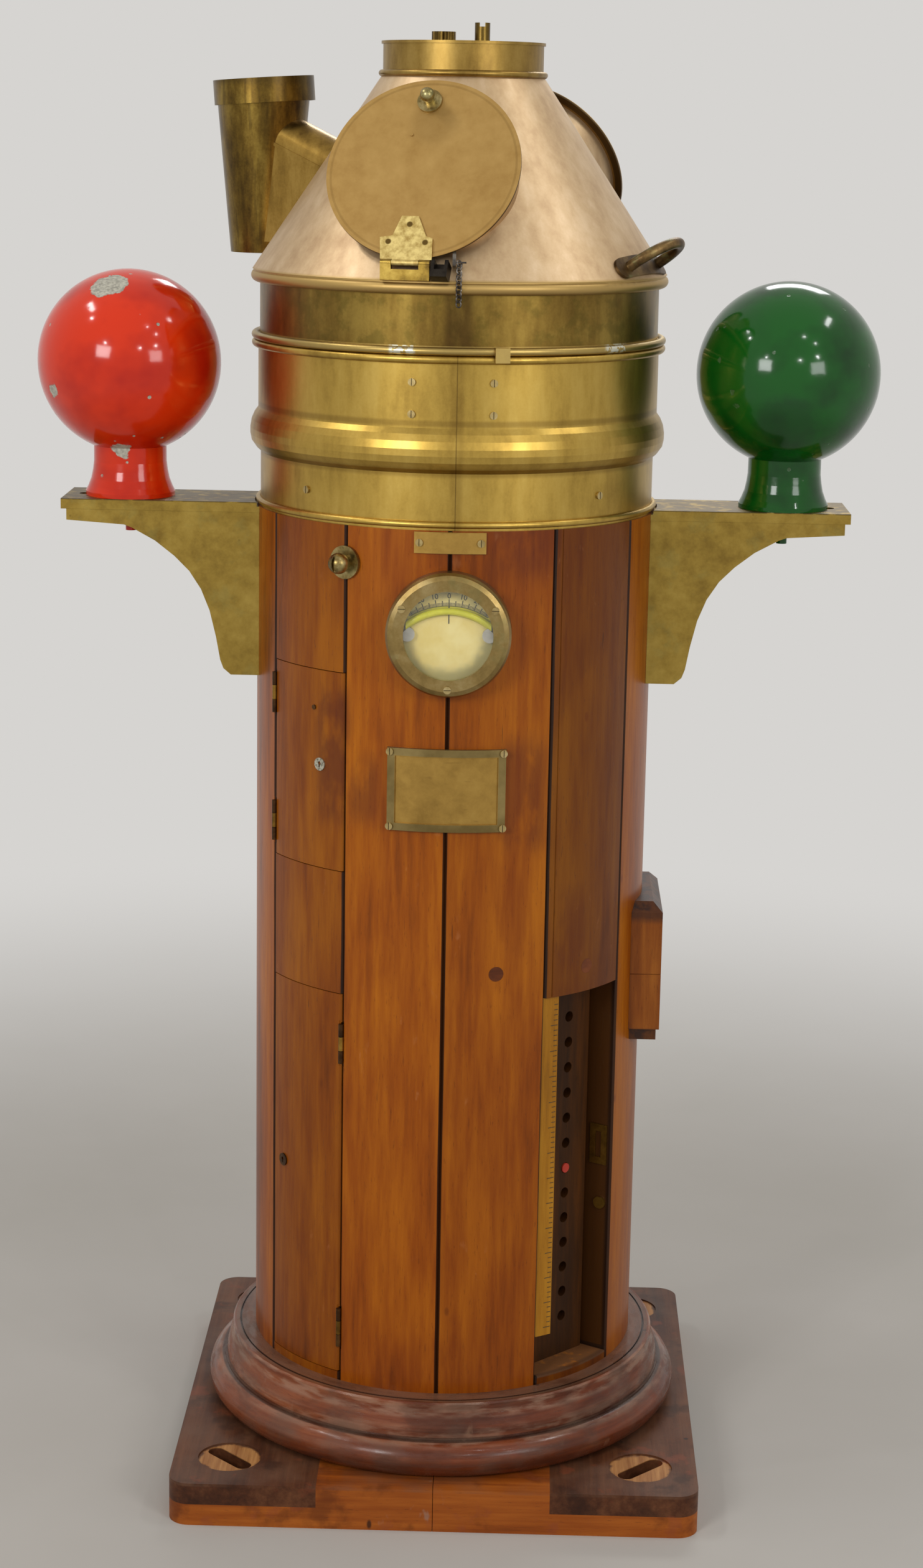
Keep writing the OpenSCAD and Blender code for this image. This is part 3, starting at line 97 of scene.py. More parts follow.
class Finish:
    """A procedural material, built on object coordinates so that it stays with its piece."""

    def __init__(self, name, metallic=0.0, roughness=0.5, specular=0.5, coat=0.0, coat_roughness=0.1):
        self.mat = bpy.data.materials.new(name)
        self.mat.use_nodes = True
        self.tree = self.mat.node_tree
        self.shader = self.tree.nodes["Principled BSDF"]
        self.set("Metallic", metallic)
        self.set("Roughness", roughness)
        self.set("Specular IOR Level", specular)
        self.set("Coat Weight", coat)
        self.set("Coat Roughness", coat_roughness)
        self.place = self.node("ShaderNodeTexCoord").outputs["Object"]
        split = self.node("ShaderNodeSeparateXYZ", Vector=self.place)
        self.x, self.y, self.z = split.outputs

    def plug(self, value, socket):
        """Feeds a socket with a link or with a plain value."""
        if isinstance(value, bpy.types.NodeSocket):
            self.tree.links.new(value, socket)
        else:
            socket.default_value = value

    def set(self, name, value):
        self.plug(value, self.shader.inputs[name])

    def node(self, kind, settings=None, **inputs):
        made = self.tree.nodes.new(kind)
        for key, value in (settings or {}).items():
            setattr(made, key, value)
        for key, value in inputs.items():
            self.plug(value, made.inputs[key.replace("_", " ")])
        return made

    # Sums and products
    def calc(self, operation, a, b=0.0):
        made = self.node("ShaderNodeMath", {"operation": operation})
        self.plug(a, made.inputs[0])
        self.plug(b, made.inputs[1])
        return made.outputs[0]

    def plus(self, first, *rest):
        whole = first
        for value in rest:
            whole = self.calc("ADD", whole, value)
        return whole

    def times(self, first, *rest):
        """Product of values; of masks, the place where all of them hold."""
        whole = first
        for value in rest:
            whole = self.calc("MULTIPLY", whole, value)
        return whole

    def stack(self, first, *rest):
        """The strongest of several masks."""
        whole = first
        for mask in rest:
            whole = self.calc("MAXIMUM", whole, mask)
        return whole

    def flip(self, mask):
        """1 where the mask is 0, and 0 where it is 1."""
        return self.calc("SUBTRACT", 1.0, mask)

    def centred(self, value, width):
        """A value from 0 to 1 moved to run from -width / 2 to width / 2."""
        return self.times(self.plus(value, -0.5), width)

    def vector(self, x, y, z):
        return self.node("ShaderNodeCombineXYZ", X=x, Y=y, Z=z).outputs[0]

    # Places
    def azimuth(self):
        """Azimuth about the pedestal axis, in degrees."""
        turned = self.calc("ARCTAN2", self.x, self.times(self.y, -1.0))
        return self.times(turned, math.degrees(1))

    def hypotenuse(self, a, b):
        return self.calc("SQRT", self.plus(self.times(a, a), self.times(b, b)))

    def radius(self):
        """Distance from the pedestal axis."""
        return self.hypotenuse(self.x, self.y)

    def polar(self):
        """Coordinates that run round the axis: arc length, radius and height."""
        arc = self.times(self.azimuth(), math.radians(1) * PED_R)
        return self.vector(arc, self.radius(), self.z)

    def distance(self, point):
        off = self.node("ShaderNodeVectorMath", {"operation": "DISTANCE"})
        self.plug(self.place, off.inputs[0])
        off.inputs[1].default_value = point
        return off.outputs["Value"]

    def along(self, centre, direction):
        """Distance of each point from a centre along a direction."""
        off = self.node("ShaderNodeVectorMath", {"operation": "SUBTRACT"})
        self.plug(self.place, off.inputs[0])
        off.inputs[1].default_value = centre
        dot = self.node("ShaderNodeVectorMath", {"operation": "DOT_PRODUCT"})
        self.plug(off.outputs[0], dot.inputs[0])
        dot.inputs[1].default_value = direction
        return dot.outputs["Value"]

    # Patterns
    def noise(self, size, stretch=(1, 1, 1), detail=4.0, rough=0.55, seed=0.0, place=None, warp=0.0):
        """Noise from 0 to 1 whose spots are about size metres wide."""
        moved = self.node("ShaderNodeMapping")
        self.plug(place or self.place, moved.inputs["Vector"])
        moved.inputs["Location"].default_value = (seed, seed * 1.7, seed * 0.6)
        moved.inputs["Scale"].default_value = stretch
        made = self.node("ShaderNodeTexNoise", Scale=1 / size, Detail=detail, Roughness=rough,
                         Distortion=warp, Vector=moved.outputs[0])
        return made.outputs["Fac"]

    def cells(self, size, seed=0.0, place=None):
        """Distance to the nearest of scattered points, 0 at a point."""
        moved = self.node("ShaderNodeMapping")
        self.plug(place or self.place, moved.inputs["Vector"])
        moved.inputs["Location"].default_value = (seed, seed * 1.3, seed * 0.7)
        made = self.node("ShaderNodeTexVoronoi", Scale=1 / size, Vector=moved.outputs[0])
        return made.outputs["Distance"]

    # Masks
    def step(self, value, none, full):
        """0 where value is at none, 1 where it is at full, smooth between; either may be larger."""
        made = self.node("ShaderNodeMapRange", {"interpolation_type": "SMOOTHSTEP"}, Value=value)
        made.inputs["From Min"].default_value = none
        made.inputs["From Max"].default_value = full
        return made.outputs[0]

    def patches(self, size, none, full, stretch=(1, 1, 1), **how):
        """Patches of about one size, where its noise passes from none to full."""
        return self.step(self.noise(size, stretch, **how), none, full)

    def near(self, value, centre, half, soft):
        """1 within half of centre and 0 beyond half + soft."""
        off = self.calc("ABSOLUTE", self.plus(value, -centre))
        return self.flip(self.step(off, half, half + soft))

    def inside(self, value, low, high, soft=0.0005):
        """1 where value lies between low and high."""
        return self.near(value, (low + high) / 2, (high - low) / 2, soft)

    def close_to(self, point, radius, soft, wobble=None):
        """1 within radius of a point; wobble is added to the distance."""
        distance = self.distance(point)
        if wobble is not None:
            distance = self.plus(distance, wobble)
        return self.flip(self.step(distance, radius, radius + soft))

    # Colours, numbers and bumps
    def ramp(self, value, *stops):
        """Colour that follows value through (position, colour) stops."""
        made = self.node("ShaderNodeValToRGB", Fac=value)
        points = made.color_ramp.elements
        while len(points) < len(stops):
            points.new(0.5)
        for point, (at, colour) in zip(points, stops):
            point.position = at
            point.color = colour
        return made.outputs["Color"]

    def mix(self, share, a, b, kind="MIX"):
        """Colour between a and b."""
        made = self.node("ShaderNodeMix", {"data_type": "RGBA", "blend_type": kind})
        self.plug(share, made.inputs[0])
        self.plug(a, made.inputs[6])
        self.plug(b, made.inputs[7])
        return made.outputs[2]

    def tint(self, share, colour, by):
        """Colour multiplied by another, as far as share says."""
        return self.mix(share, colour, self.mix(1.0, colour, by, "MULTIPLY"))

    def blend(self, share, a, b):
        """Number between a and b."""
        made = self.node("ShaderNodeMix", {"data_type": "FLOAT"})
        self.plug(share, made.inputs[0])
        self.plug(a, made.inputs[2])
        self.plug(b, made.inputs[3])
        return made.outputs[0]

    def bump(self, height, depth, strength=1.0, under=None):
        made = self.node("ShaderNodeBump", Height=height, Distance=depth, Strength=strength)
        if under is not None:
            self.plug(under, made.inputs["Normal"])
        return made.outputs[0]


def dress(finish, *names):
    """Gives a finish to CAD nodes and smooths their round faces."""
    for name in names:
        data = nodes[name].data
        data.materials.clear()
        data.materials.append(finish.mat)
        data.shade_smooth()
        data.set_sharp_from_angle(angle=math.radians(SMOOTH_DEG))


# Woods
GRAIN_SHARE = {"z": 0.08, "x": 0.05, "y": 0.05, "round": 0.06}
PALE_WOOD = srgb(188, 110, 14)
MID_WOOD = srgb(155, 79, 4)
DEEP_WOOD = srgb(100, 44, 2)
# Bare wood of the inner faces, paler than the real wood: painted light against the shade inside the pedestal
BARE_WOOD_AND_PAINTED_LIGHT = srgb(232, 140, 44)


def wood(name, colours, along="z", seed=0.0, rough=(0.28, 0.46), coat=0.06):
    """Varnished wood with streaks along one axis, slow blotches and pores."""
    pale, mid, deep = colours
    f = Finish(name, specular=0.20, coat=coat, coat_roughness=0.16)
    place = f.polar() if along == "round" else f.place
    grain = drawn_out(along, GRAIN_SHARE[along])
    streaks = f.noise(0.0060, grain, detail=6, rough=0.62, seed=seed, place=place)
    broad = f.noise(0.030, grain, detail=3, seed=seed + 3, place=place, warp=0.3)
    blotch = f.noise(0.085, drawn_out(along, 0.35), detail=3, seed=seed + 7, place=place)
    pores = f.patches(0.0014, 0.60, 0.72, drawn_out(along, 0.12), detail=3, rough=0.7,
                      seed=seed + 9, place=place)
    shares = (0.32, 0.35, 0.45)
    weighed = [f.times(value, share) for value, share in zip((streaks, broad, blotch), shares)]
    tone = f.calc("DIVIDE", f.plus(*weighed), sum(shares))
    colour = f.ramp(tone, (0.34, deep), (0.47, mid), (0.62, pale))
    f.colour = f.mix(f.times(pores, 0.45), colour, deep)
    f.streaks = streaks
    f.blotch = blotch
    f.set("Base Color", f.colour)
    f.set("Roughness", f.blend(blotch, *rough))
    f.set("Normal", f.bump(f.plus(f.times(streaks, 0.6), f.times(pores, -0.4)), 0.0006, 0.35))
    return f


def scuffs(f, colour, pale, dark, seed=0.0, amount=1.0):
    """Scattered pale scuffs and dark dents over a wood colour."""
    tall = f.vector(f.x, f.y, f.times(f.z, 0.5))
    dents = f.step(f.cells(0.055, seed, tall), 0.055, 0.022)
    rubbed = f.times(f.patches(0.012, 0.63, 0.74, (1, 1, 0.4), seed=seed + 2),
                     f.patches(0.12, 0.50, 0.66, seed=seed + 5))
    colour = f.mix(f.times(rubbed, 0.30 * amount), colour, pale)
    return f.mix(f.times(dents, 0.55 * amount), colour, dark)


# Staves: azimuths in degrees, seams at multiples of STAVE_DEG
STAVE_DEG = 30.0
OPEN_BAY = 45.0
SEAM_HALF_DEG = 0.50
SEAM_FILL = 0.92
SEAM_DARK = srgb(26, 14, 8)
SILL_WORN = srgb(96, 68, 48)
STAIN_RED = srgb(84, 30, 14)
# How much darker a stave is, by the azimuth of its middle
DARKER_STAVES = {OPEN_BAY: 0.58, -45.0: 0.30, 75.0: 0.12, 15.0: 0.08}
# Height where each tint of the wood starts, height where it is full, its strength and its colour
FOOT_TINT = (0.62, 0.20, 0.7, (0.84, 0.74, 0.45, 1))
HEAD_TINT = (0.78, 0.93, 0.8, (0.80, 0.70, 0.72, 1))
CLOUD_TINT = (0.60, 0.42, 0.36, 1)
# Red stains: azimuth, half width in degrees, height, half height and strength
STAINS = ((20, 7, 0.918, 0.012, 0.7), (-34, 3, 0.720, 0.045, 0.9), (-24, 3, 0.690, 0.015, 0.7),
          (22, 4, 0.690, 0.035, 0.7), (38, 4, 0.560, 0.020, 0.5))
STAIN_SOFT_DEG = 5
STAIN_SOFT_Z = 0.030


def on_stave(f, azimuth, middle):
    """1 on the stave whose middle is at an azimuth."""
    return f.near(azimuth, middle, STAVE_DEG / 2, 0.3)


def stave_tones(f, azimuth, seed):
    """Wood colour with a tone of its own for each stave, some of them plainly darker."""
    number = f.calc("FLOOR", f.calc("DIVIDE", f.plus(azimuth, FULL_TURN), STAVE_DEG))
    draw = f.node("ShaderNodeTexWhiteNoise", {"noise_dimensions": "1D"}, W=f.plus(number, seed))
    tone = f.ramp(draw.outputs["Value"], (0.0, (0.90, 0.86, 0.84, 1)), (1.0, (1.04, 1.05, 1.06, 1)))
    colour = f.mix(1.0, f.colour, tone, "MULTIPLY")
    darker = [f.times(on_stave(f, azimuth, middle), share) for middle, share in DARKER_STAVES.items()]
    shade = f.flip(f.plus(*darker))
    return f.mix(1.0, colour, f.vector(shade, shade, shade), "MULTIPLY")


def height_tints(f, colour, seed):
    """Yellower wood towards the foot, redder towards the head, and cloudy dark patches."""
    start, full, strength, tint = FOOT_TINT
    colour = f.tint(f.times(f.step(f.z, start, full), strength), colour, tint)
    start, full, strength, tint = HEAD_TINT
    uneven = f.plus(f.z, f.centred(f.blotch, 0.10))
    colour = f.tint(f.times(f.step(uneven, start, full), strength), colour, tint)
    cloudy = f.patches(0.055, 0.52, 0.68, (1, 1, 0.30), detail=4, seed=seed + 11, warp=0.6)
    return f.tint(f.times(cloudy, 0.38), colour, CLOUD_TINT)


def stained(f, colour, azimuth, seed):
    """Red stains at their places, and dark scratches along the grain."""
    spots = [f.times(f.near(azimuth, at, half, STAIN_SOFT_DEG), f.near(f.z, z, tall, STAIN_SOFT_Z), strength)
             for at, half, z, tall, strength in STAINS]
    stain = f.times(f.stack(*spots), f.patches(0.03, 0.30, 0.55, (1, 1, 0.5), seed=seed + 4))
    colour = f.mix(f.times(stain, 0.75), colour, STAIN_RED)
    scratch = f.times(f.patches(0.0035, 0.70, 0.74, (1, 1, 0.06), detail=2, seed=seed + 13),
                      f.patches(0.10, 0.50, 0.60, seed=seed + 14))
    return f.mix(f.times(scratch, 0.5), colour, SEAM_DARK)


def stave_finish(name, seed, seam_fill=SEAM_FILL):
    """Pedestal wood: staves with dark seams, bare wood inside painted paler than it is as painted light in
    the shade there, and a worn sill in the open bay.
    """
    f = wood(name, (PALE_WOOD, MID_WOOD, DEEP_WOOD), "z", seed)
    azimuth = f.azimuth()
    colour = stave_tones(f, azimuth, seed)
    colour = height_tints(f, colour, seed)
    colour = scuffs(f, colour, srgb(196, 132, 84), DEEP_WOOD, seed + 1)
    colour = stained(f, colour, azimuth, seed)
    # Inner faces: bare wood painted paler than it is, as painted light in the shade inside the pedestal
    inner = f.step(f.radius(), PED_R - 0.003, PED_R - 0.007)
    bare = f.mix(f.streaks, f.mix(0.4, BARE_WOOD_AND_PAINTED_LIGHT, DEEP_WOOD), BARE_WOOD_AND_PAINTED_LIGHT)
    colour = f.mix(f.times(inner, 0.85), colour, bare)
    sill = f.times(on_stave(f, azimuth, OPEN_BAY), f.near(f.z, SILL_Z, 0.0020, 0.001),
                   f.patches(0.02, 0.25, 0.45, detail=4, seed=seed + 17))
    colour = f.mix(f.times(sill, 0.85), colour, SILL_WORN)
    drift = f.centred(f.noise(0.05, (1, 1, 0.4), seed=seed + 15), 0.5)
    shifted = f.plus(azimuth, drift, FULL_TURN + STAVE_DEG / 2)
    seam = f.near(f.calc("MODULO", shifted, STAVE_DEG), STAVE_DEG / 2, SEAM_HALF_DEG, 0.25)
    f.set("Base Color", f.mix(f.times(seam, seam_fill), colour, SEAM_DARK))
    return f


# Mouldings: radii of the ogee's edges, and the heights between which the torus has its crest
OGEE_FOOT_R = PED_R + 0.0284
OGEE_TOP_R = PED_R + 0.0225
OGEE_GROOVE_R = OGEE_TOP_R - 0.0077
CREST_R = TORUS_R - 0.012
CREST_Z = (0.070, 0.078)
GROOVE_DARK = srgb(30, 16, 12)


def moulding_finish():
    """Dark red wood, rubbed pale on its edges with painted highlights along its arris and crest, dark lines
    in its grooves, and grey and soaked patches.
    """
    f = wood("moulding_wood", tones((150, 84, 48), (110, 52, 26), (58, 27, 16)), "round", 2.2, coat=0.22)
    place = f.polar()
    radius = f.radius()
    worn = f.times(f.patches(0.016, 0.46, 0.72, (0.3, 1, 1), detail=6, seed=8, place=place),
                   f.patches(0.09, 0.40, 0.60, seed=9))
    colour = f.mix(f.times(worn, 0.32), f.colour, srgb(142, 104, 82))
    ledge = f.times(f.step(radius, OGEE_TOP_R - 0.002, OGEE_TOP_R - 0.004),
                    f.step(f.z, OGEE_TOP_Z - 0.003, OGEE_TOP_Z - 0.001))
    colour = f.mix(f.times(ledge, 0.45), colour, srgb(104, 88, 70))
    # Pale flecks on the ogee's arris and the torus crest: rub wear together with painted highlights
    arris = f.near(radius, OGEE_TOP_R, 0.0012, 0.0015)
    crest = f.times(f.near(radius, CREST_R, 0.004, 0.004), f.step(f.z, *CREST_Z))
    wear_and_highlight_flecks = f.patches(0.010, 0.40, 0.58, (0.25, 1, 1), detail=5, seed=12, place=place)
    colour = f.mix(f.times(f.stack(arris, crest), wear_and_highlight_flecks, 0.42), colour, srgb(180, 146, 122))
    joint = f.times(f.near(f.z, TORUS_TOP, 0.0012, 0.0015), f.near(radius, OGEE_FOOT_R, 0.004, 0.002))
    grooves = f.stack(joint, f.near(radius, OGEE_GROOVE_R, 0.0009, 0.0006))
    colour = f.mix(f.times(grooves, 0.75), colour, GROOVE_DARK)
    grime = f.patches(0.055, 0.46, 0.66, detail=5, seed=16)
    colour = f.mix(f.times(grime, 0.40), colour, srgb(92, 76, 64))
    soaked = f.patches(0.028, 0.48, 0.64, (0.5, 1, 1), detail=5, seed=14, place=place)
    colour = f.mix(f.times(soaked, 0.45), colour, srgb(58, 28, 16))
    f.set("Base Color", scuffs(f, colour, srgb(160, 122, 96), GROOVE_DARK, 6.0))
    patchy = f.patches(0.009, 0.38, 0.62, (0.4, 1, 1), rough=0.65, seed=15, place=place)
    f.set("Roughness", f.blend(patchy, 0.14, 0.50))
    return f


# Base board: places and radius of the round seats of its slots, and the height of their floors
SLOT_X = 0.195
SLOT_Y = 0.190
SEAT_R = 0.030
SEAT_Z = BOARD_TOP - 0.0015
SEAT_EDGE = 0.004


def rail_finish(name, colours, along, seed):
    """Base board wood, dusty on top, with paler wood in the round seats of the slots."""
    f = wood(name, colours, along, seed, rough=(0.38, 0.62), coat=0.05)
    colour = scuffs(f, f.colour, srgb(150, 130, 116), srgb(30, 18, 14), seed + 1, 1.5)
    top = f.step(f.z, BOARD_TOP - 0.0035, BOARD_TOP - 0.0020)
    dust = f.times(top, f.patches(0.05, 0.35, 0.70, seed=seed))
    colour = f.mix(f.times(dust, 0.35), colour, srgb(112, 84, 66))
    soaked = f.patches(0.045, 0.52, 0.66, detail=5, seed=seed + 7)
    colour = f.mix(f.times(soaked, 0.55), colour, colours[-1])
    red_wear = f.patches(0.030, 0.60, 0.70, seed=seed + 8)
    colour = f.mix(f.times(red_wear, 0.40), colour, srgb(134, 66, 40))
    wobble = f.centred(f.noise(0.014, seed=seed + 3), 0.014)
    seats = [f.close_to((side * SLOT_X, end * SLOT_Y, SEAT_Z), SEAT_R - SEAT_EDGE, SEAT_EDGE, wobble)
             for side in (-1, 1) for end in (-1, 1)]
    in_seat = f.times(f.stack(*seats), f.near(f.z, SEAT_Z, 0.0004, 0.0006))
    seat_colour = f.ramp(f.streaks, (0.35, srgb(146, 92, 44)), (0.65, srgb(196, 142, 84)))
    f.set("Base Color", f.mix(f.times(in_seat, 0.85), colour, seat_colour))
    return f


def block_finish():
    """Orange wood with a rough dark cap and foot."""
    f = wood("block_wood", tones((162, 98, 32), (126, 66, 16), (74, 34, 8)), "z", 6.0)
    cap = f.step(f.z, BLOCK_HIGH.z - 0.022, BLOCK_HIGH.z - 0.012)
    foot = f.step(f.z, BLOCK_LOW.z + 0.013, BLOCK_LOW.z + 0.009)
    rough_edge = f.patches(0.010, 0.40, 0.60, seed=2)
    dark = f.times(f.stack(cap, foot), f.blend(rough_edge, 0.75, 1.0))
    f.set("Base Color", f.mix(dark, f.colour, srgb(52, 32, 24)))
    return f


def dress_woods():
    dress(stave_finish("stave_wood", 0.0), "staves", "bay_staves")
    dress(stave_finish("door_wood", 4.3, seam_fill=0.0), "upper_door", "lower_door")
    dress(moulding_finish(), "base_torus", "base_ogee")
    rail_dark = tones((108, 66, 40), (74, 40, 22), (38, 20, 12))
    dress(rail_finish("rail_dark", rail_dark, "y", 3.0), "base_side_rails")
    rail_orange = tones((176, 98, 32), (142, 70, 18), (82, 36, 10))
    dress(rail_finish("rail_orange", rail_orange, "x", 5.0), "base_cross_rails")
    dress(block_finish(), "side_block")
    inner = wood("inner_wood", tones((136, 98, 66), (104, 64, 36), (60, 32, 16)), "x", 7.0,
                 rough=(0.5, 0.7), coat=0.0)
    inner.set("Base Color", scuffs(inner, inner.colour, srgb(150, 130, 112), srgb(40, 24, 16), 1.0, 1.4))
    dress(inner, "pedestal_floor", "pedestal_shelf", "pedestal_deck")
    rack = wood("rack_wood", tones((92, 50, 10), (60, 32, 6), (28, 14, 3)), "z", 8.0,
                rough=(0.45, 0.65), coat=0.0)
    dress(rack, "rack_boards")
    boxwood = wood("boxwood", tones((190, 134, 34), (160, 106, 20), (112, 68, 10)), "z", 9.0,
                   rough=(0.4, 0.55), coat=0.1)
    dress(boxwood, "scale_strip")
    dress(wood("plug_wood", tones((120, 62, 26), (92, 44, 18), (54, 26, 12)), "x", 1.0), "wood_plugs")


# Brass
PATINA_GREEN = srgb(104, 118, 70)


def brass(name, colours, rough=(0.24, 0.42), along="z", seed=0.0, contrast=1.0, patina=0.0, spots=0.2):
    """Old brass: slow tarnish, streaks along an axis or none, fine grain, specks and green patina."""
    pale, mid, deep = colours
    f = Finish(name, metallic=1.0, coat=0.12, coat_roughness=0.30)
    cloud = f.noise(0.070, detail=5, rough=0.6, seed=seed)
    streak = f.noise(0.016, drawn_out(along, 0.24), detail=5, rough=0.6, seed=seed + 2)
    fine = f.noise(0.0022, rough=0.7, seed=seed + 5)
    tone = f.plus(f.times(cloud, 0.40), f.times(streak, 0.48), f.times(fine, 0.12))
    spread = 0.16 / contrast
    colour = f.ramp(tone, (0.5 - spread, deep), (0.5, mid), (0.5 + spread, pale))
    specks = f.times(f.step(f.cells(0.016, seed + 4), 0.10, 0.04),
                     f.patches(0.05, 0.48, 0.62, seed=seed + 6))
    colour = f.mix(f.times(specks, spots), colour, deep)
    if patina:
        green = f.times(f.patches(0.030, 0.52, 0.66, detail=6, rough=0.65, seed=seed + 8), patina)
        colour = f.mix(green, colour, PATINA_GREEN)
        f.set("Metallic", f.flip(f.times(green, 0.7)))
    f.colour = colour
    f.cloud = cloud
    f.fine = fine
    f.set("Base Color", colour)
    f.set("Roughness", f.plus(f.blend(tone, rough[1], rough[0]), f.centred(fine, 0.10)))
    f.set("Normal", f.bump(f.plus(f.times(cloud, 0.5), f.times(fine, 0.12)), 0.0008, 0.22))
    return f


# Round window doors: azimuths, distance of their middles from the axis, height and lean
FRONT_WINDOW = -12.0
REAR_WINDOW = 150.0
WINDOW_OUT = 0.1456
WINDOW_Z = 1.2428
WINDOW_LEAN = math.radians(29.5)
# On a door, from its middle: top of the hinge leaf, its screws (down, sideways), ring and smudge
LEAF_TOP = 0.044
LEAF_SCREWS = ((0.055, -0.004), (0.072, 0.012), (0.072, -0.021))
DOOR_RING_R = 0.083
SMUDGE_UP = 0.044
SMUDGE_SIDE = 0.004


def door_finish(name, azimuth):
    """Dull tan brass of a round door, with the pale hinge leaf screwed on at its foot and painted shade on
    the rim of its back.
    """
    f = brass(name, tones((186, 152, 92), (170, 136, 78), (146, 110, 56)), (0.46, 0.58), "none", 4.0,
              contrast=0.6, spots=0.12)
    centre = around(azimuth, WINDOW_OUT, WINDOW_Z)
    outward = around(azimuth, 1.0, 0.0)
    up = Vector((0, 0, 1))
    normal = outward * math.cos(WINDOW_LEAN) + up * math.sin(WINDOW_LEAN)
    down = outward * math.sin(WINDOW_LEAN) - up * math.cos(WINDOW_LEAN)
    side = normal.cross(down)
    height, fall, across = [f.along(centre, direction) for direction in (normal, down, side)]
    out = f.hypotenuse(fall, across)
    ring = f.near(out, DOOR_RING_R, 0.0006, 0.0008)
    colour = f.mix(f.times(ring, 0.25), f.colour, srgb(104, 76, 34))
    smudge = f.close_to(centre - down * SMUDGE_UP + side * SMUDGE_SIDE, 0.012, 0.016)
    colour = f.mix(f.times(smudge, 0.25), colour, srgb(110, 82, 40))
    # Painted shade: the rim on the back of the door is darkened to stand for the door's edge in shade
    back_rim_shade = f.times(f.step(out, DOOR_RING_R - 0.004, DOOR_RING_R - 0.002),
                       f.step(height, -0.0004, -0.0010))
    colour = f.mix(f.times(back_rim_shade, 0.85), colour, srgb(38, 28, 16))
    leaf = f.times(f.step(height, 0.0003, 0.0006), f.step(fall, LEAF_TOP, LEAF_TOP + 0.001))
    mottle = f.noise(0.008, detail=5, rough=0.65, seed=31)
    leaf_colour = f.ramp(mottle, (0.35, srgb(168, 140, 76)), (0.6, srgb(222, 200, 130)))
    colour = f.mix(leaf, colour, leaf_colour)
    screws = [f.close_to(centre + down * fallen + side * aside + normal * 0.002, 0.0020, 0.0012)
              for fallen, aside in LEAF_SCREWS]
    f.set("Base Color", f.mix(f.times(f.stack(*screws), leaf), colour, srgb(96, 74, 32)))
    return f


# Bowl case: azimuth of its seam, and height over its foot, half height and softness of its dark bands, the
# lower of which is painted shade under the swell
CASE_SEAM_DEG = 1.2
CASE_BANDS = ((0.094, 0.001, 0.003), (0.051, 0.002, 0.004))


def case_finish():
    """Yellow brass with a soldered seam at the front and dark bands above and below the swell, the lower one
    a painted shadow under the swell's undercut.
    """
    f = brass("case_brass", tones((200, 169, 88), (180, 148, 69), (136, 107, 45)), (0.30, 0.42), "z", 1.0,
              contrast=0.8)
    azimuth = f.azimuth()
    seam = f.times(f.near(azimuth, CASE_SEAM_DEG, 0.9, 1.6),
                   f.patches(0.02, 0.25, 0.55, (1, 1, 0.2), seed=4))
    colour = f.mix(f.times(seam, 0.30), f.colour, srgb(96, 66, 24))
    edge_line = f.near(azimuth, CASE_SEAM_DEG, 0.10, 0.10)
    colour = f.mix(f.times(edge_line, 0.5), colour, srgb(66, 44, 16))
    # Darker bands above and below the swell; the lower one is painted shade under the undercut
    bands = [f.near(f.z, CASE_FOOT + up, half, soft) for up, half, soft in CASE_BANDS]
    f.set("Base Color", f.mix(f.times(f.stack(*bands), 0.40), colour, srgb(100, 74, 30)))
    return f


# Hood skirt: height over its foot where the wall starts above the ring, and marks by their x
SKIRT_WALL_Z = SKIRT_FOOT + 0.0158
CHAIN_STAIN_X = 0.004
SOLDER_SPOTS = ((-0.045, 0.009), (0.143, 0.007))
SOLDER = srgb(206, 204, 186)


def skirt_finish():
    """Mottled brass wall with a stain under the chain, over a paler ring with blobs of solder."""
    f = brass("skirt_brass", tones((154, 128, 60), (124, 98, 42), (84, 62, 24)), (0.30, 0.44), "z", 2.0,
              contrast=0.9)
    wall = f.step(f.z, SKIRT_WALL_Z, SKIRT_WALL_Z + 0.0008)
    front = f.step(f.y, 0.0, -0.05)
    mottle = f.patches(0.022, 0.47, 0.62, detail=6, rough=0.65, seed=27)
    colour = f.mix(f.times(mottle, 0.45), f.colour, srgb(88, 76, 28))
    chain_stain = f.times(f.near(f.x, CHAIN_STAIN_X, 0.007, 0.010), front, wall,
                          f.patches(0.02, 0.2, 0.5, (1, 1, 0.3), seed=3))
    colour = f.mix(f.times(chain_stain, 0.65), colour, srgb(66, 44, 20))
    ring_tone = f.mix(0.55, f.colour, srgb(196, 170, 104))
    colour = f.mix(f.flip(wall), colour, ring_tone)
    spots = [f.near(f.x, x, half, 0.004) for x, half in SOLDER_SPOTS]
    blobs = f.patches(0.005, 0.46, 0.50, detail=5, seed=17)
    f.set("Base Color", f.mix(f.times(f.stack(*spots), front, f.flip(wall), blobs), colour, SOLDER))
    return f


def cone_finish():
    """Pale rosy brass, yellower on the bead at its foot."""
    f = brass("cone_brass", tones((218, 194, 160), (198, 170, 132), (168, 136, 100)), (0.42, 0.54), "z", 3.0,
              contrast=0.8)
    bead = f.step(f.z, CONE_FOOT + 0.014, CONE_FOOT + 0.011)
    f.set("Base Color", f.mix(bead, f.colour, srgb(176, 146, 88)))
    return f


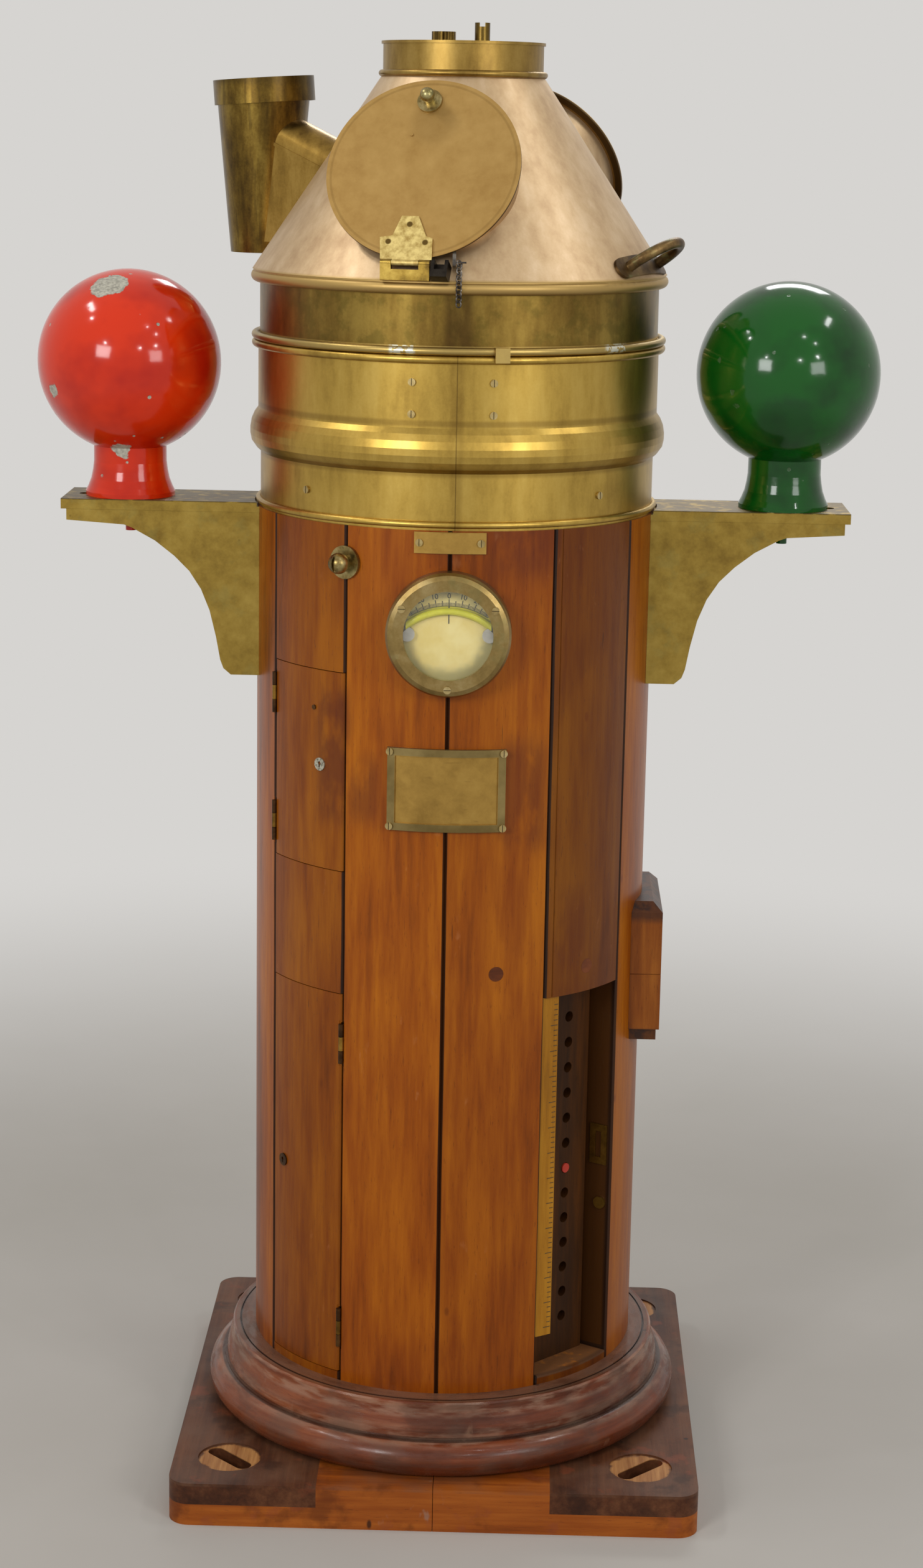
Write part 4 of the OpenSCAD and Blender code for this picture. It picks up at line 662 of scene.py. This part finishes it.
def lamp_finish():
    """Dark brass with drips down its sides and a darker rim at the top of the cap."""
    f = brass("lamp_brass", tones((150, 124, 56), (108, 84, 32), (56, 40, 14)), (0.26, 0.40), "z", 6.0,
              contrast=1.3)
    drip = f.patches(0.006, 0.50, 0.64, (1, 1, 0.03), seed=21)
    colour = f.mix(f.times(drip, 0.45), f.colour, srgb(58, 42, 18))
    rim = f.step(f.z, LAMP_CAP_TOP - 0.012, LAMP_CAP_TOP - 0.006)
    f.set("Base Color", f.mix(f.times(rim, 0.45), colour, srgb(66, 52, 24)))
    return f


def bracket_finish():
    """Cast brass with a little patina and grime on the top plates of the brackets."""
    f = brass("bracket_brass", tones((172, 146, 72), (148, 122, 54), (108, 84, 34)), (0.36, 0.52), "none",
              8.0, contrast=0.8, patina=0.14, spots=0.5)
    shelf = f.step(f.z, BRACKET_TOP - 0.0012, BRACKET_TOP - 0.0004)
    grime = f.times(shelf, f.patches(0.012, 0.34, 0.50, detail=5, seed=23))
    f.set("Base Color", f.mix(f.times(grime, 0.75), f.colour, srgb(64, 52, 32)))
    return f


# Keyhole plate of the upper door
KEYHOLE = around(-38.5, PED_R, 0.709)
KEYHOLE_R = 0.0075


def hinge_finish():
    """Dark brass of the door fittings, with bright metal round the upper keyhole."""
    f = brass("hinge_brass", tones((116, 84, 46), (76, 50, 26), (40, 25, 13)), (0.40, 0.56), "none", 16.0,
              contrast=1.4)
    silver = f.ramp(f.fine, (0.35, srgb(120, 116, 100)), (0.6, srgb(206, 202, 184)))
    f.set("Base Color", f.mix(f.close_to(KEYHOLE, KEYHOLE_R, 0.001), f.colour, silver))
    return f


PLATE_BORDER = 0.007


def plate_finish():
    """Blank plates: the large one has a dull yellow panel in a grey-green border."""
    f = brass("plate_brass", tones((184, 150, 78), (164, 130, 64), (130, 100, 46)), (0.42, 0.56), "none",
              11.0, contrast=0.7, spots=0.3)
    panel = f.times(f.inside(f.x, PLATE_LOW.x + PLATE_BORDER, PLATE_HIGH.x - PLATE_BORDER),
                    f.inside(f.z, PLATE_LOW.z + PLATE_BORDER, PLATE_HIGH.z - PLATE_BORDER))
    on_large = f.inside(f.z, PLATE_LOW.z - 0.002, PLATE_HIGH.z + 0.002)
    border = f.ramp(f.cloud, (0.35, srgb(96, 84, 52)), (0.65, srgb(150, 134, 90)))
    colour = f.mix(f.times(on_large, f.flip(panel), 0.8), f.colour, border)
    scratch = f.patches(0.004, 0.66, 0.72, (0.1, 1, 1), detail=2, seed=41)
    f.set("Base Color", f.mix(f.times(scratch, 0.3), colour, srgb(120, 92, 44)))
    return f


def screw_finish():
    """Bright screw heads, with painted shade in their slots where an ambient occlusion node finds them
    closed in.
    """
    f = brass("screw_brass", tones((214, 196, 148), (176, 154, 102), (112, 90, 48)), (0.26, 0.42), "none",
              19.0)
    open_share = f.node("ShaderNodeAmbientOcclusion", {"samples": 8}, Distance=0.0012).outputs["AO"]
    # Painted shade: colour darkened where the ambient occlusion node finds the surface closed in, as in the
    # slots
    f.set("Base Color", f.mix(f.step(open_share, 0.30, 0.80), srgb(34, 26, 14), f.colour))
    return f


def dress_brass():
    dress(case_finish(), "bowl_case")
    dress(skirt_finish(), "hood_skirt")
    dress(cone_finish(), "hood_cone", "window_frames")
    dress(door_finish("front_door_brass", FRONT_WINDOW), "front_door")
    dress(door_finish("rear_door_brass", REAR_WINDOW), "rear_door")
    dress(lamp_finish(), "lamp_tube", "lamp_cap", "knurled_cap", "fork_post")
    dress(bracket_finish(), "bracket_left", "bracket_right", "gimbal_bearings", "heeling_bucket")
    dress(hinge_finish(), "upper_door_brass", "lower_door_brass")
    dress(plate_finish(), "large_plate", "small_plate")
    dress(screw_finish(), "fitting_screws")
    dress(brass("collar_brass", tones((172, 142, 76), (146, 117, 56), (104, 78, 32)),
                (0.32, 0.46), "z", 5.0),
          "hood_collar", "oil_lamp")
    dress(brass("duct_brass", tones((184, 150, 78), (148, 116, 52), (94, 68, 26)),
                (0.24, 0.36), "z", 7.0),
          "lamp_duct")
    dress(brass("handle_brass", tones((138, 112, 70), (92, 70, 40), (52, 36, 20)),
                (0.40, 0.56), "none", 9.0,
                contrast=1.4, patina=0.5),
          "hood_handle")
    dress(brass("knob_brass", tones((190, 172, 120), (138, 118, 70), (72, 60, 34)),
                (0.22, 0.42), "none", 10.0,
                contrast=1.8, patina=0.3),
          "pedestal_knob", "front_door_knob", "rear_door_knob")
    dress(brass("strike_brass", tones((170, 132, 56), (130, 96, 36), (70, 48, 16)),
                (0.34, 0.52), "none", 17.0),
          "jamb_fittings")
    dress(brass("bezel_brass", tones((176, 156, 108), (146, 122, 72), (104, 84, 44)),
                (0.30, 0.44), "none", 12.0,
                contrast=0.8, patina=0.20),
          "clinometer_case")
    dress(brass("bright_brass", tones((232, 216, 172), (206, 184, 124), (150, 122, 62)),
                (0.22, 0.36), "none", 13.0),
          "gimbal_ring", "compass_bowl", "heeling_tube")
    dress(brass("leaf_brass", tones((186, 158, 78), (150, 122, 52), (78, 58, 24)),
                (0.30, 0.46), "none", 18.0,
                contrast=1.3),
          "hinge_leaves")


def dress_steel():
    dress(brass("chain_steel", tones((150, 144, 134), (92, 86, 80), (44, 38, 36)),
                (0.28, 0.50), "none", 14.0,
                contrast=1.8),
          "retaining_chain")
    dress(brass("clip_black", tones((60, 54, 46), (36, 31, 26), (16, 13, 11)),
                (0.32, 0.55), "none", 15.0),
          "catch_clip")


# Paint
CHIP_EDGE = 0.55
# Bare spots of the left sphere, from its middle, and their radii
RED_CHIPS = (((-0.013, -0.042, 0.073), 0.017), ((-0.004, -0.036, -0.078), 0.009),
             ((-0.062, -0.050, -0.024), 0.006))
GREEN_SMUDGE = Vector((-0.006, -0.072, -0.040))


def paint(name, base, deep, seed):
    """Gloss paint that changes tone slowly; chip_paint adds its chips."""
    f = Finish(name, specular=0.32, coat=0.14, coat_roughness=0.05)
    f.colour = f.ramp(f.noise(0.06, detail=3, seed=seed), (0.30, deep), (0.55, base))
    f.wobble = f.centred(f.noise(0.010, seed=seed + 2), 0.016)
    ragged = f.plus(f.cells(0.034, seed + 4), f.times(f.noise(0.006, seed=seed + 5), 0.20))
    scattered = f.times(f.step(ragged, 0.200, 0.185), f.patches(0.06, 0.52, 0.56, seed=seed + 6))
    dots = f.times(f.step(f.cells(0.024, seed + 8), 0.085, 0.060),
                   f.patches(0.07, 0.46, 0.54, seed=seed + 9))
    f.chips = f.stack(scattered, dots)
    return f


def chip_paint(f, chip, rough=0.13):
    """Matt chips of one colour, darker in places and sunk into the paint, which has a fine peel."""
    dark = (*(CHIP_EDGE * channel for channel in chip[:3]), 1)
    chip_colour = f.ramp(f.noise(0.003, detail=3), (0.35, dark), (0.65, chip))
    f.set("Base Color", f.mix(f.chips, f.colour, chip_colour))
    f.set("Roughness", f.blend(f.chips, rough, 0.55))
    peel = f.bump(f.noise(0.014, detail=2), 0.0009, 0.16)
    f.set("Normal", f.bump(f.times(f.chips, -1.0), 0.0006, 0.8, peel))


def dress_paint():
    red = paint("sphere_red", srgb(214, 48, 6), srgb(182, 28, 4), 1.0)
    spots = [red.close_to(LEFT_SPHERE + Vector(place), radius, 0.0010, red.wobble)
             for place, radius in RED_CHIPS]
    red.chips = red.stack(red.chips, *spots)
    chip_paint(red, srgb(190, 186, 170))
    dress(red, "sphere_left", "sphere_foot_left")

    green = paint("sphere_green", srgb(10, 84, 18), srgb(4, 54, 10), 5.0)
    smudge = green.close_to(RIGHT_SPHERE + GREEN_SMUDGE, 0.020, 0.016, green.wobble)
    green.colour = green.mix(green.times(smudge, 0.45), green.colour, srgb(16, 44, 24))
    green.chips = green.times(green.chips, 0.5)
    chip_paint(green, srgb(90, 112, 80))
    dress(green, "sphere_right", "sphere_foot_right")

    magnet = paint("magnet_red", srgb(196, 58, 40), srgb(150, 36, 24), 7.0)
    chip_paint(magnet, srgb(120, 110, 100), rough=0.3)
    dress(magnet, "corrector_magnet")


# Clinometer dial: its face, and the arc of its tube and ticks about a centre under the middle
DIAL_R = (DIAL_HIGH.x - DIAL_LOW.x) / 2
DIAL_T = 0.002
DIAL_FACE_Y = DIAL_HIGH.y - DIAL_T
DIAL_Z = (DIAL_HIGH.z + DIAL_LOW.z) / 2
ARC_Z = DIAL_Z - 0.040
BAND_R = 0.0607
BAND_HALF = 0.0042
BAND_END_X = 0.036


def dial_finish():
    """Cream enamel, darker and greener at the rim as a painted shadow of the bezel, with a yellow band along
    the arc and pale metal clips.
    """
    f = Finish("dial_cream", roughness=0.42, coat=0.1)
    age = f.noise(0.020, detail=5, seed=2)
    middle = f.close_to((0, DIAL_FACE_Y, DIAL_Z), DIAL_R - 0.016, 0.012, f.centred(age, 0.02))
    cream = f.ramp(age, (0.35, srgb(240, 216, 126)), (0.65, srgb(250, 232, 156)))
    # Painted shadow of the bezel: the face outside its middle darkened to olive
    colour = f.mix(f.times(f.flip(middle), 0.75), cream, srgb(150, 142, 78))
    band = f.times(f.near(f.distance((0, DIAL_FACE_Y, ARC_Z)), BAND_R, BAND_HALF, 0.0006),
                   f.near(f.x, 0.0, BAND_END_X, 0.001))
    colour = f.mix(band, colour, f.ramp(age, (0.3, srgb(196, 186, 16)), (0.7, srgb(226, 216, 60))))
    clips = f.step(f.y, DIAL_FACE_Y - 0.0002, DIAL_FACE_Y - 0.0006)
    colour = f.mix(clips, colour, f.ramp(age, (0.3, srgb(150, 146, 132)), (0.7, srgb(206, 203, 192))))
    f.set("Base Color", colour)
    f.set("Metallic", f.times(clips, 0.6))
    f.set("Normal", f.bump(age, 0.0002, 0.3))
    return f


def tube_finish():
    """Yellow spirit tube."""
    f = Finish("tube_yellow", coat=0.5, coat_roughness=0.05)
    across = f.noise(0.012, seed=3)
    f.set("Base Color", f.ramp(across, (0.3, srgb(206, 204, 10)), (0.7, srgb(238, 232, 40))))
    f.set("Roughness", f.blend(across, 0.10, 0.20))
    return f


def card_finish():
    """White compass card."""
    f = Finish("card_white", roughness=0.6)
    age = f.noise(0.03, seed=5)
    f.set("Base Color", f.ramp(age, (0.3, srgb(226, 218, 196)), (0.7, srgb(244, 240, 226))))
    return f


def glass_finish():
    """Thin glass: a mirror that is clear except at a slant, with faint smears."""
    f = Finish("clear_glass", metallic=1.0)
    smear = f.noise(0.03, seed=6)
    f.set("Base Color", f.ramp(smear, (0.3, (0.90, 0.95, 0.93, 1)), (0.7, (0.97, 0.99, 0.98, 1))))
    f.set("Roughness", f.blend(smear, 0.02, 0.08))
    slant = f.calc("POWER", f.node("ShaderNodeLayerWeight", Blend=0.5).outputs["Facing"], 5.0)
    f.set("Alpha", f.plus(f.times(slant, 0.9), 0.03, f.times(smear, 0.03)))
    return f


def dress_instruments():
    dress(dial_finish(), "clinometer_dial")
    dress(tube_finish(), "clinometer_tube")
    dress(card_finish(), "compass_card")
    dress(glass_finish(), "clinometer_glass", "compass_glass", "window_glasses")


# Fine detail that sits on the CAD pieces
MARK_LIFT = 0.0002
MARK_T = 0.0003
# Ticks of the dial: degrees each way, and radii about the arc's centre
DIAL_SWEEP = 32
TICK_R = 0.0650
LINE_R = 0.0648
LINE_DASHES = 30
LINE_T = 0.0003
POINTER_R = 0.0585
POINTER_SIZE = (0.0009, MARK_T, 0.0190)
NUMBER_R = 0.0718
NUMBER_H = 0.0066
# Ticks of the scale strip: radius of its face, azimuth of its edge, and the spacing
STRIP_R = 0.185
STRIP_EDGE_DEG = 35.0
STRIP_MARGIN = (0.008, 0.004)
STRIP_PITCH = 0.005
# Compass rose: the card's face, its ticks, and the points of its star
CARD_FACE = CARD_LOW.z + 0.0075
CARD_R = (CARD_HIGH.x - CARD_LOW.x) / 2
CARD_TICKS = 72
CARD_MARGIN = 0.004
STAR_REACH = (0.088, 0.052, 0.070, 0.052)
STAR_POINTS = 16
STAR_FOOT = 0.012
STAR_SHOULDER = 0.024


def add_object(name, data, finish):
    obj = bpy.data.objects.new(name, data)
    bpy.context.scene.collection.objects.link(obj)
    data.materials.append(finish.mat)
    return obj


def mesh_from(name, shape):
    """Mesh data made from a bmesh, which is freed."""
    data = bpy.data.meshes.new(name)
    shape.to_mesh(data)
    shape.free()
    return data


def carry(mark, body):
    """Makes a dark mark ride on a body, once it is in place."""
    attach(mark, body)


def slab(shape, place, sizes):
    """Adds a thin box, in a place given as a matrix, to a bmesh."""
    made = bmesh.ops.create_cube(shape, size=1.0)["verts"]
    bmesh.ops.transform(shape, matrix=place @ Matrix.Diagonal((*sizes, 1)), verts=made)


def ink():
    f = Finish("mark_ink", roughness=0.6)
    f.set("Base Color", f.ramp(f.noise(0.004, seed=1), (0.3, srgb(24, 24, 20)), (0.7, srgb(62, 60, 46))))
    return f


def digits(name, text, place, height, finish, body):
    """A plain number, standing up at a place whose x runs along its line and z upwards."""
    words = bpy.data.curves.new(name, "FONT")
    words.body = text
    words.size = height
    words.align_x = "CENTER"
    words.extrude = MARK_T / 2
    number = add_object(name, words, finish)
    number.matrix_world = place @ Matrix.Rotation(math.radians(90), 4, "X")
    carry(number, body)


def dial_place(angle, radius):
    """Place on the dial's face; its x runs along the arc and its z away from the arc's centre."""
    a = math.radians(angle)
    point = Vector((radius * math.sin(a), DIAL_FACE_Y - MARK_LIFT, ARC_Z + radius * math.cos(a)))
    return Matrix.Translation(point) @ Matrix.Rotation(a, 4, "Y")


def dial_marks(black):
    """Ticks for each degree on a line of short dashes, the pointer line and plain numbers."""
    shape = bmesh.new()
    for degree in range(-DIAL_SWEEP, DIAL_SWEEP + 1):
        fifth = degree % 5 == 0
        height = 0.0060 if degree % 10 == 0 else 0.0046 if fifth else 0.0030
        width = 0.0007 if fifth else 0.0004
        slab(shape, dial_place(degree, TICK_R + height / 2), (width, MARK_T, height))
    dash = DIAL_SWEEP / LINE_DASHES
    for side in (-1, 1):
        for number in range(LINE_DASHES):
            place = dial_place(side * (number + 0.5) * dash, LINE_R)
            slab(shape, place, (TICK_R * math.radians(dash), MARK_T, LINE_T))
    slab(shape, dial_place(0, POINTER_R), POINTER_SIZE)
    carry(add_object("dial_ticks", mesh_from("dial_ticks", shape), black), "pedestal")
    for degree in (-20, -10, 0, 10, 20):
        place = dial_place(degree, NUMBER_R)
        digits(f"dial_number_{degree + 30}", str(abs(degree)), place, NUMBER_H, black, "pedestal")


def scale_marks(black):
    """Ticks along the right edge of the boxwood strip."""
    shape = bmesh.new()
    start = STRIP_LOW.z + STRIP_MARGIN[0]
    room = STRIP_HIGH.z - STRIP_MARGIN[1] - start
    for number in range(math.ceil(room / STRIP_PITCH)):
        wide = 0.0075 if number % 5 == 0 else 0.0040
        azimuth = STRIP_EDGE_DEG - math.degrees(wide / 2 / STRIP_R)
        point = around(azimuth, STRIP_R + 0.0001, start + number * STRIP_PITCH)
        place = Matrix.Translation(point) @ Matrix.Rotation(math.radians(azimuth), 4, "Z")
        slab(shape, place, (wide, MARK_T, 0.0005))
    carry(add_object("scale_ticks", mesh_from("scale_ticks", shape), black), "pedestal")


def card_marks(black):
    """A plain compass rose: rim ticks and a star of sixteen points."""
    shape = bmesh.new()
    for number in range(CARD_TICKS):
        length = 0.012 if number % 6 == 0 else 0.006
        turn = Matrix.Rotation(math.radians(number * FULL_TURN / CARD_TICKS), 4, "Z")
        place = turn @ Matrix.Translation((0, CARD_R - CARD_MARGIN - length / 2, CARD_FACE))
        slab(shape, place, (0.0012, length, MARK_T))
    for number in range(STAR_POINTS):
        turn = Matrix.Rotation(math.radians(number * FULL_TURN / STAR_POINTS), 4, "Z")
        half = 0.005 if number % 4 == 0 else 0.0035
        points = [(0, STAR_FOOT), (half, STAR_SHOULDER), (0, STAR_REACH[number % 4])]
        for side in (1, -1):
            flat = [shape.verts.new(turn @ Vector((side * x, y, CARD_FACE + MARK_T))) for x, y in points]
            shape.faces.new(flat[::side])
    carry(add_object("card_rose", mesh_from("card_rose", shape), black), "card")


def add_marks_of_all():
    black = ink()
    dial_marks(black)
    scale_marks(black)
    card_marks(black)


# Stage, light and camera
BACKDROP = srgb(214, 212, 209)
# Strength at which the backdrop lights the part; it shows at 1
DIFFUSE_LEVEL = 0.60
# The floor fades into the backdrop between these distances from the axis
FLOOR_NEAR = 0.75
FLOOR_FAR = 2.3
FLOOR_R = 9.0
# Rays that see the plain backdrop
SEEING_RAYS = ("Is Camera Ray", "Is Glossy Ray", "Is Transmission Ray")

MIDDLE = (0, 0, 0.70)
HOOD = (0, 0, 1.20)
# Lamps: place, target, width and height, power in watts
LAMPS = {
    "front_left": ((-1.7, -2.9, 1.9), MIDDLE, (1.0, 0.8), 34),
    "front_right": ((2.0, -2.7, 1.7), MIDDLE, (1.0, 0.8), 19),
    "side_left": ((-1.9, -0.1, 3.3), HOOD, (0.7, 0.2), 11),
    "side_right": ((1.9, -0.1, 3.3), HOOD, (0.7, 0.2), 8),
    "back": ((0.6, 2.2, 2.6), MIDDLE, (1.2, 0.6), 18),
}
# Small lamps that glint on the hood: place and power in watts
SPOTS = (((-1.9, -0.8, 3.0), 3.5), ((-1.5, -2.6, 2.4), 3.5), ((0.9, -1.6, 3.1), 1.6),
         ((1.5, -1.7, 2.8), 1.6), ((0.8, -2.9, 2.2), 3.5), ((1.8, -2.3, 2.3), 3.5))
SPOT_SIZE = (0.08, 0.08)

# Camera: focal length in pixels of the image, place, angles, and the sensor's long side in millimetres
IMAGE_H = 2520
FOCAL_PX = 4682
CAM_DISTANCE = 2.742
CAM_HEIGHT = 1.289
CAM_SIDE = 0.010
CAM_YAW = math.radians(-1.16)
CAM_PITCH = math.radians(12.93)
CAM_ROLL = math.radians(1.03)
SENSOR = 36.0
CLIP_END = 60


def add_floor():
    """Pale floor that keeps the shadow near the part and fades into the backdrop further off."""
    f = Finish("floor", roughness=0.8, specular=0.1)
    cloud = f.noise(0.4, detail=5)
    f.set("Base Color", f.ramp(cloud, (0.3, srgb(181, 177, 170)), (0.7, srgb(187, 183, 177))))
    path = f.node("ShaderNodeLightPath")
    seen = f.stack(*[path.outputs[ray] for ray in SEEING_RAYS])
    glow = f.node("ShaderNodeEmission", Color=BACKDROP)
    surface = f.node("ShaderNodeMixShader")
    f.plug(f.times(seen, f.step(f.radius(), FLOOR_NEAR, FLOOR_FAR)), surface.inputs[0])
    f.plug(f.shader.outputs[0], surface.inputs[1])
    f.plug(glow.outputs[0], surface.inputs[2])
    f.plug(surface.outputs[0], f.tree.nodes["Material Output"].inputs["Surface"])
    shape = bmesh.new()
    bmesh.ops.create_circle(shape, cap_ends=True, radius=FLOOR_R, segments=96)
    add_object("floor", mesh_from("floor", shape), f)


def add_world():
    """Plain backdrop; it lights the part at a lower level than it shows."""
    world = bpy.data.worlds.new("studio")
    bpy.context.scene.world = world
    world.use_nodes = True
    tree = world.node_tree
    path = tree.nodes.new("ShaderNodeLightPath")
    seen = path.outputs[SEEING_RAYS[0]]
    for ray in SEEING_RAYS[1:]:
        either = tree.nodes.new("ShaderNodeMath")
        either.operation = "MAXIMUM"
        tree.links.new(seen, either.inputs[0])
        tree.links.new(path.outputs[ray], either.inputs[1])
        seen = either.outputs[0]
    level = tree.nodes.new("ShaderNodeMapRange")
    tree.links.new(seen, level.inputs["Value"])
    level.inputs["To Min"].default_value = DIFFUSE_LEVEL
    level.inputs["To Max"].default_value = 1.0
    back = tree.nodes["Background"]
    back.inputs["Color"].default_value = BACKDROP
    tree.links.new(level.outputs[0], back.inputs["Strength"])


def add_lamp(name, place, target, size, power):
    light = bpy.data.lights.new(name, "AREA")
    light.shape = "RECTANGLE"
    light.size, light.size_y = size
    light.energy = power
    obj = bpy.data.objects.new(name, light)
    bpy.context.scene.collection.objects.link(obj)
    obj.location = place
    aim = Vector(target) - Vector(place)
    obj.rotation_euler = aim.to_track_quat("-Z", "Y").to_euler()


def add_lights():
    for name, lamp in LAMPS.items():
        add_lamp(name, *lamp)
    for number, (place, power) in enumerate(SPOTS):
        add_lamp(f"spot_{number}", place, HOOD, SPOT_SIZE, power)


def add_camera():
    """The camera that took the photograph, from its yaw, pitch and roll."""
    level_right = Vector((math.cos(CAM_YAW), -math.sin(CAM_YAW), 0))
    level_ahead = Vector((math.sin(CAM_YAW), math.cos(CAM_YAW), 0))
    up = Vector((0, 0, 1))
    ahead = level_ahead * math.cos(CAM_PITCH) - up * math.sin(CAM_PITCH)
    over = level_ahead * math.sin(CAM_PITCH) + up * math.cos(CAM_PITCH)
    right = level_right * math.cos(CAM_ROLL) + over * math.sin(CAM_ROLL)
    top = over * math.cos(CAM_ROLL) - level_right * math.sin(CAM_ROLL)
    data = bpy.data.cameras.new("camera")
    data.sensor_fit = "AUTO"
    data.sensor_width = SENSOR
    data.lens = FOCAL_PX / IMAGE_H * SENSOR
    data.clip_end = CLIP_END
    camera = bpy.data.objects.new("camera", data)
    bpy.context.scene.collection.objects.link(camera)
    camera.matrix_world = Matrix((right, top, -ahead)).transposed().to_4x4()
    camera.location = level_right * CAM_SIDE - level_ahead * CAM_DISTANCE + up * CAM_HEIGHT
    bpy.context.scene.camera = camera


bpy.context.scene.view_settings.view_transform = "Standard"
add_camera()
add_world()
add_lights()
add_floor()
dress_woods()
dress_brass()
dress_steel()
dress_paint()
dress_instruments()
add_marks_of_all()
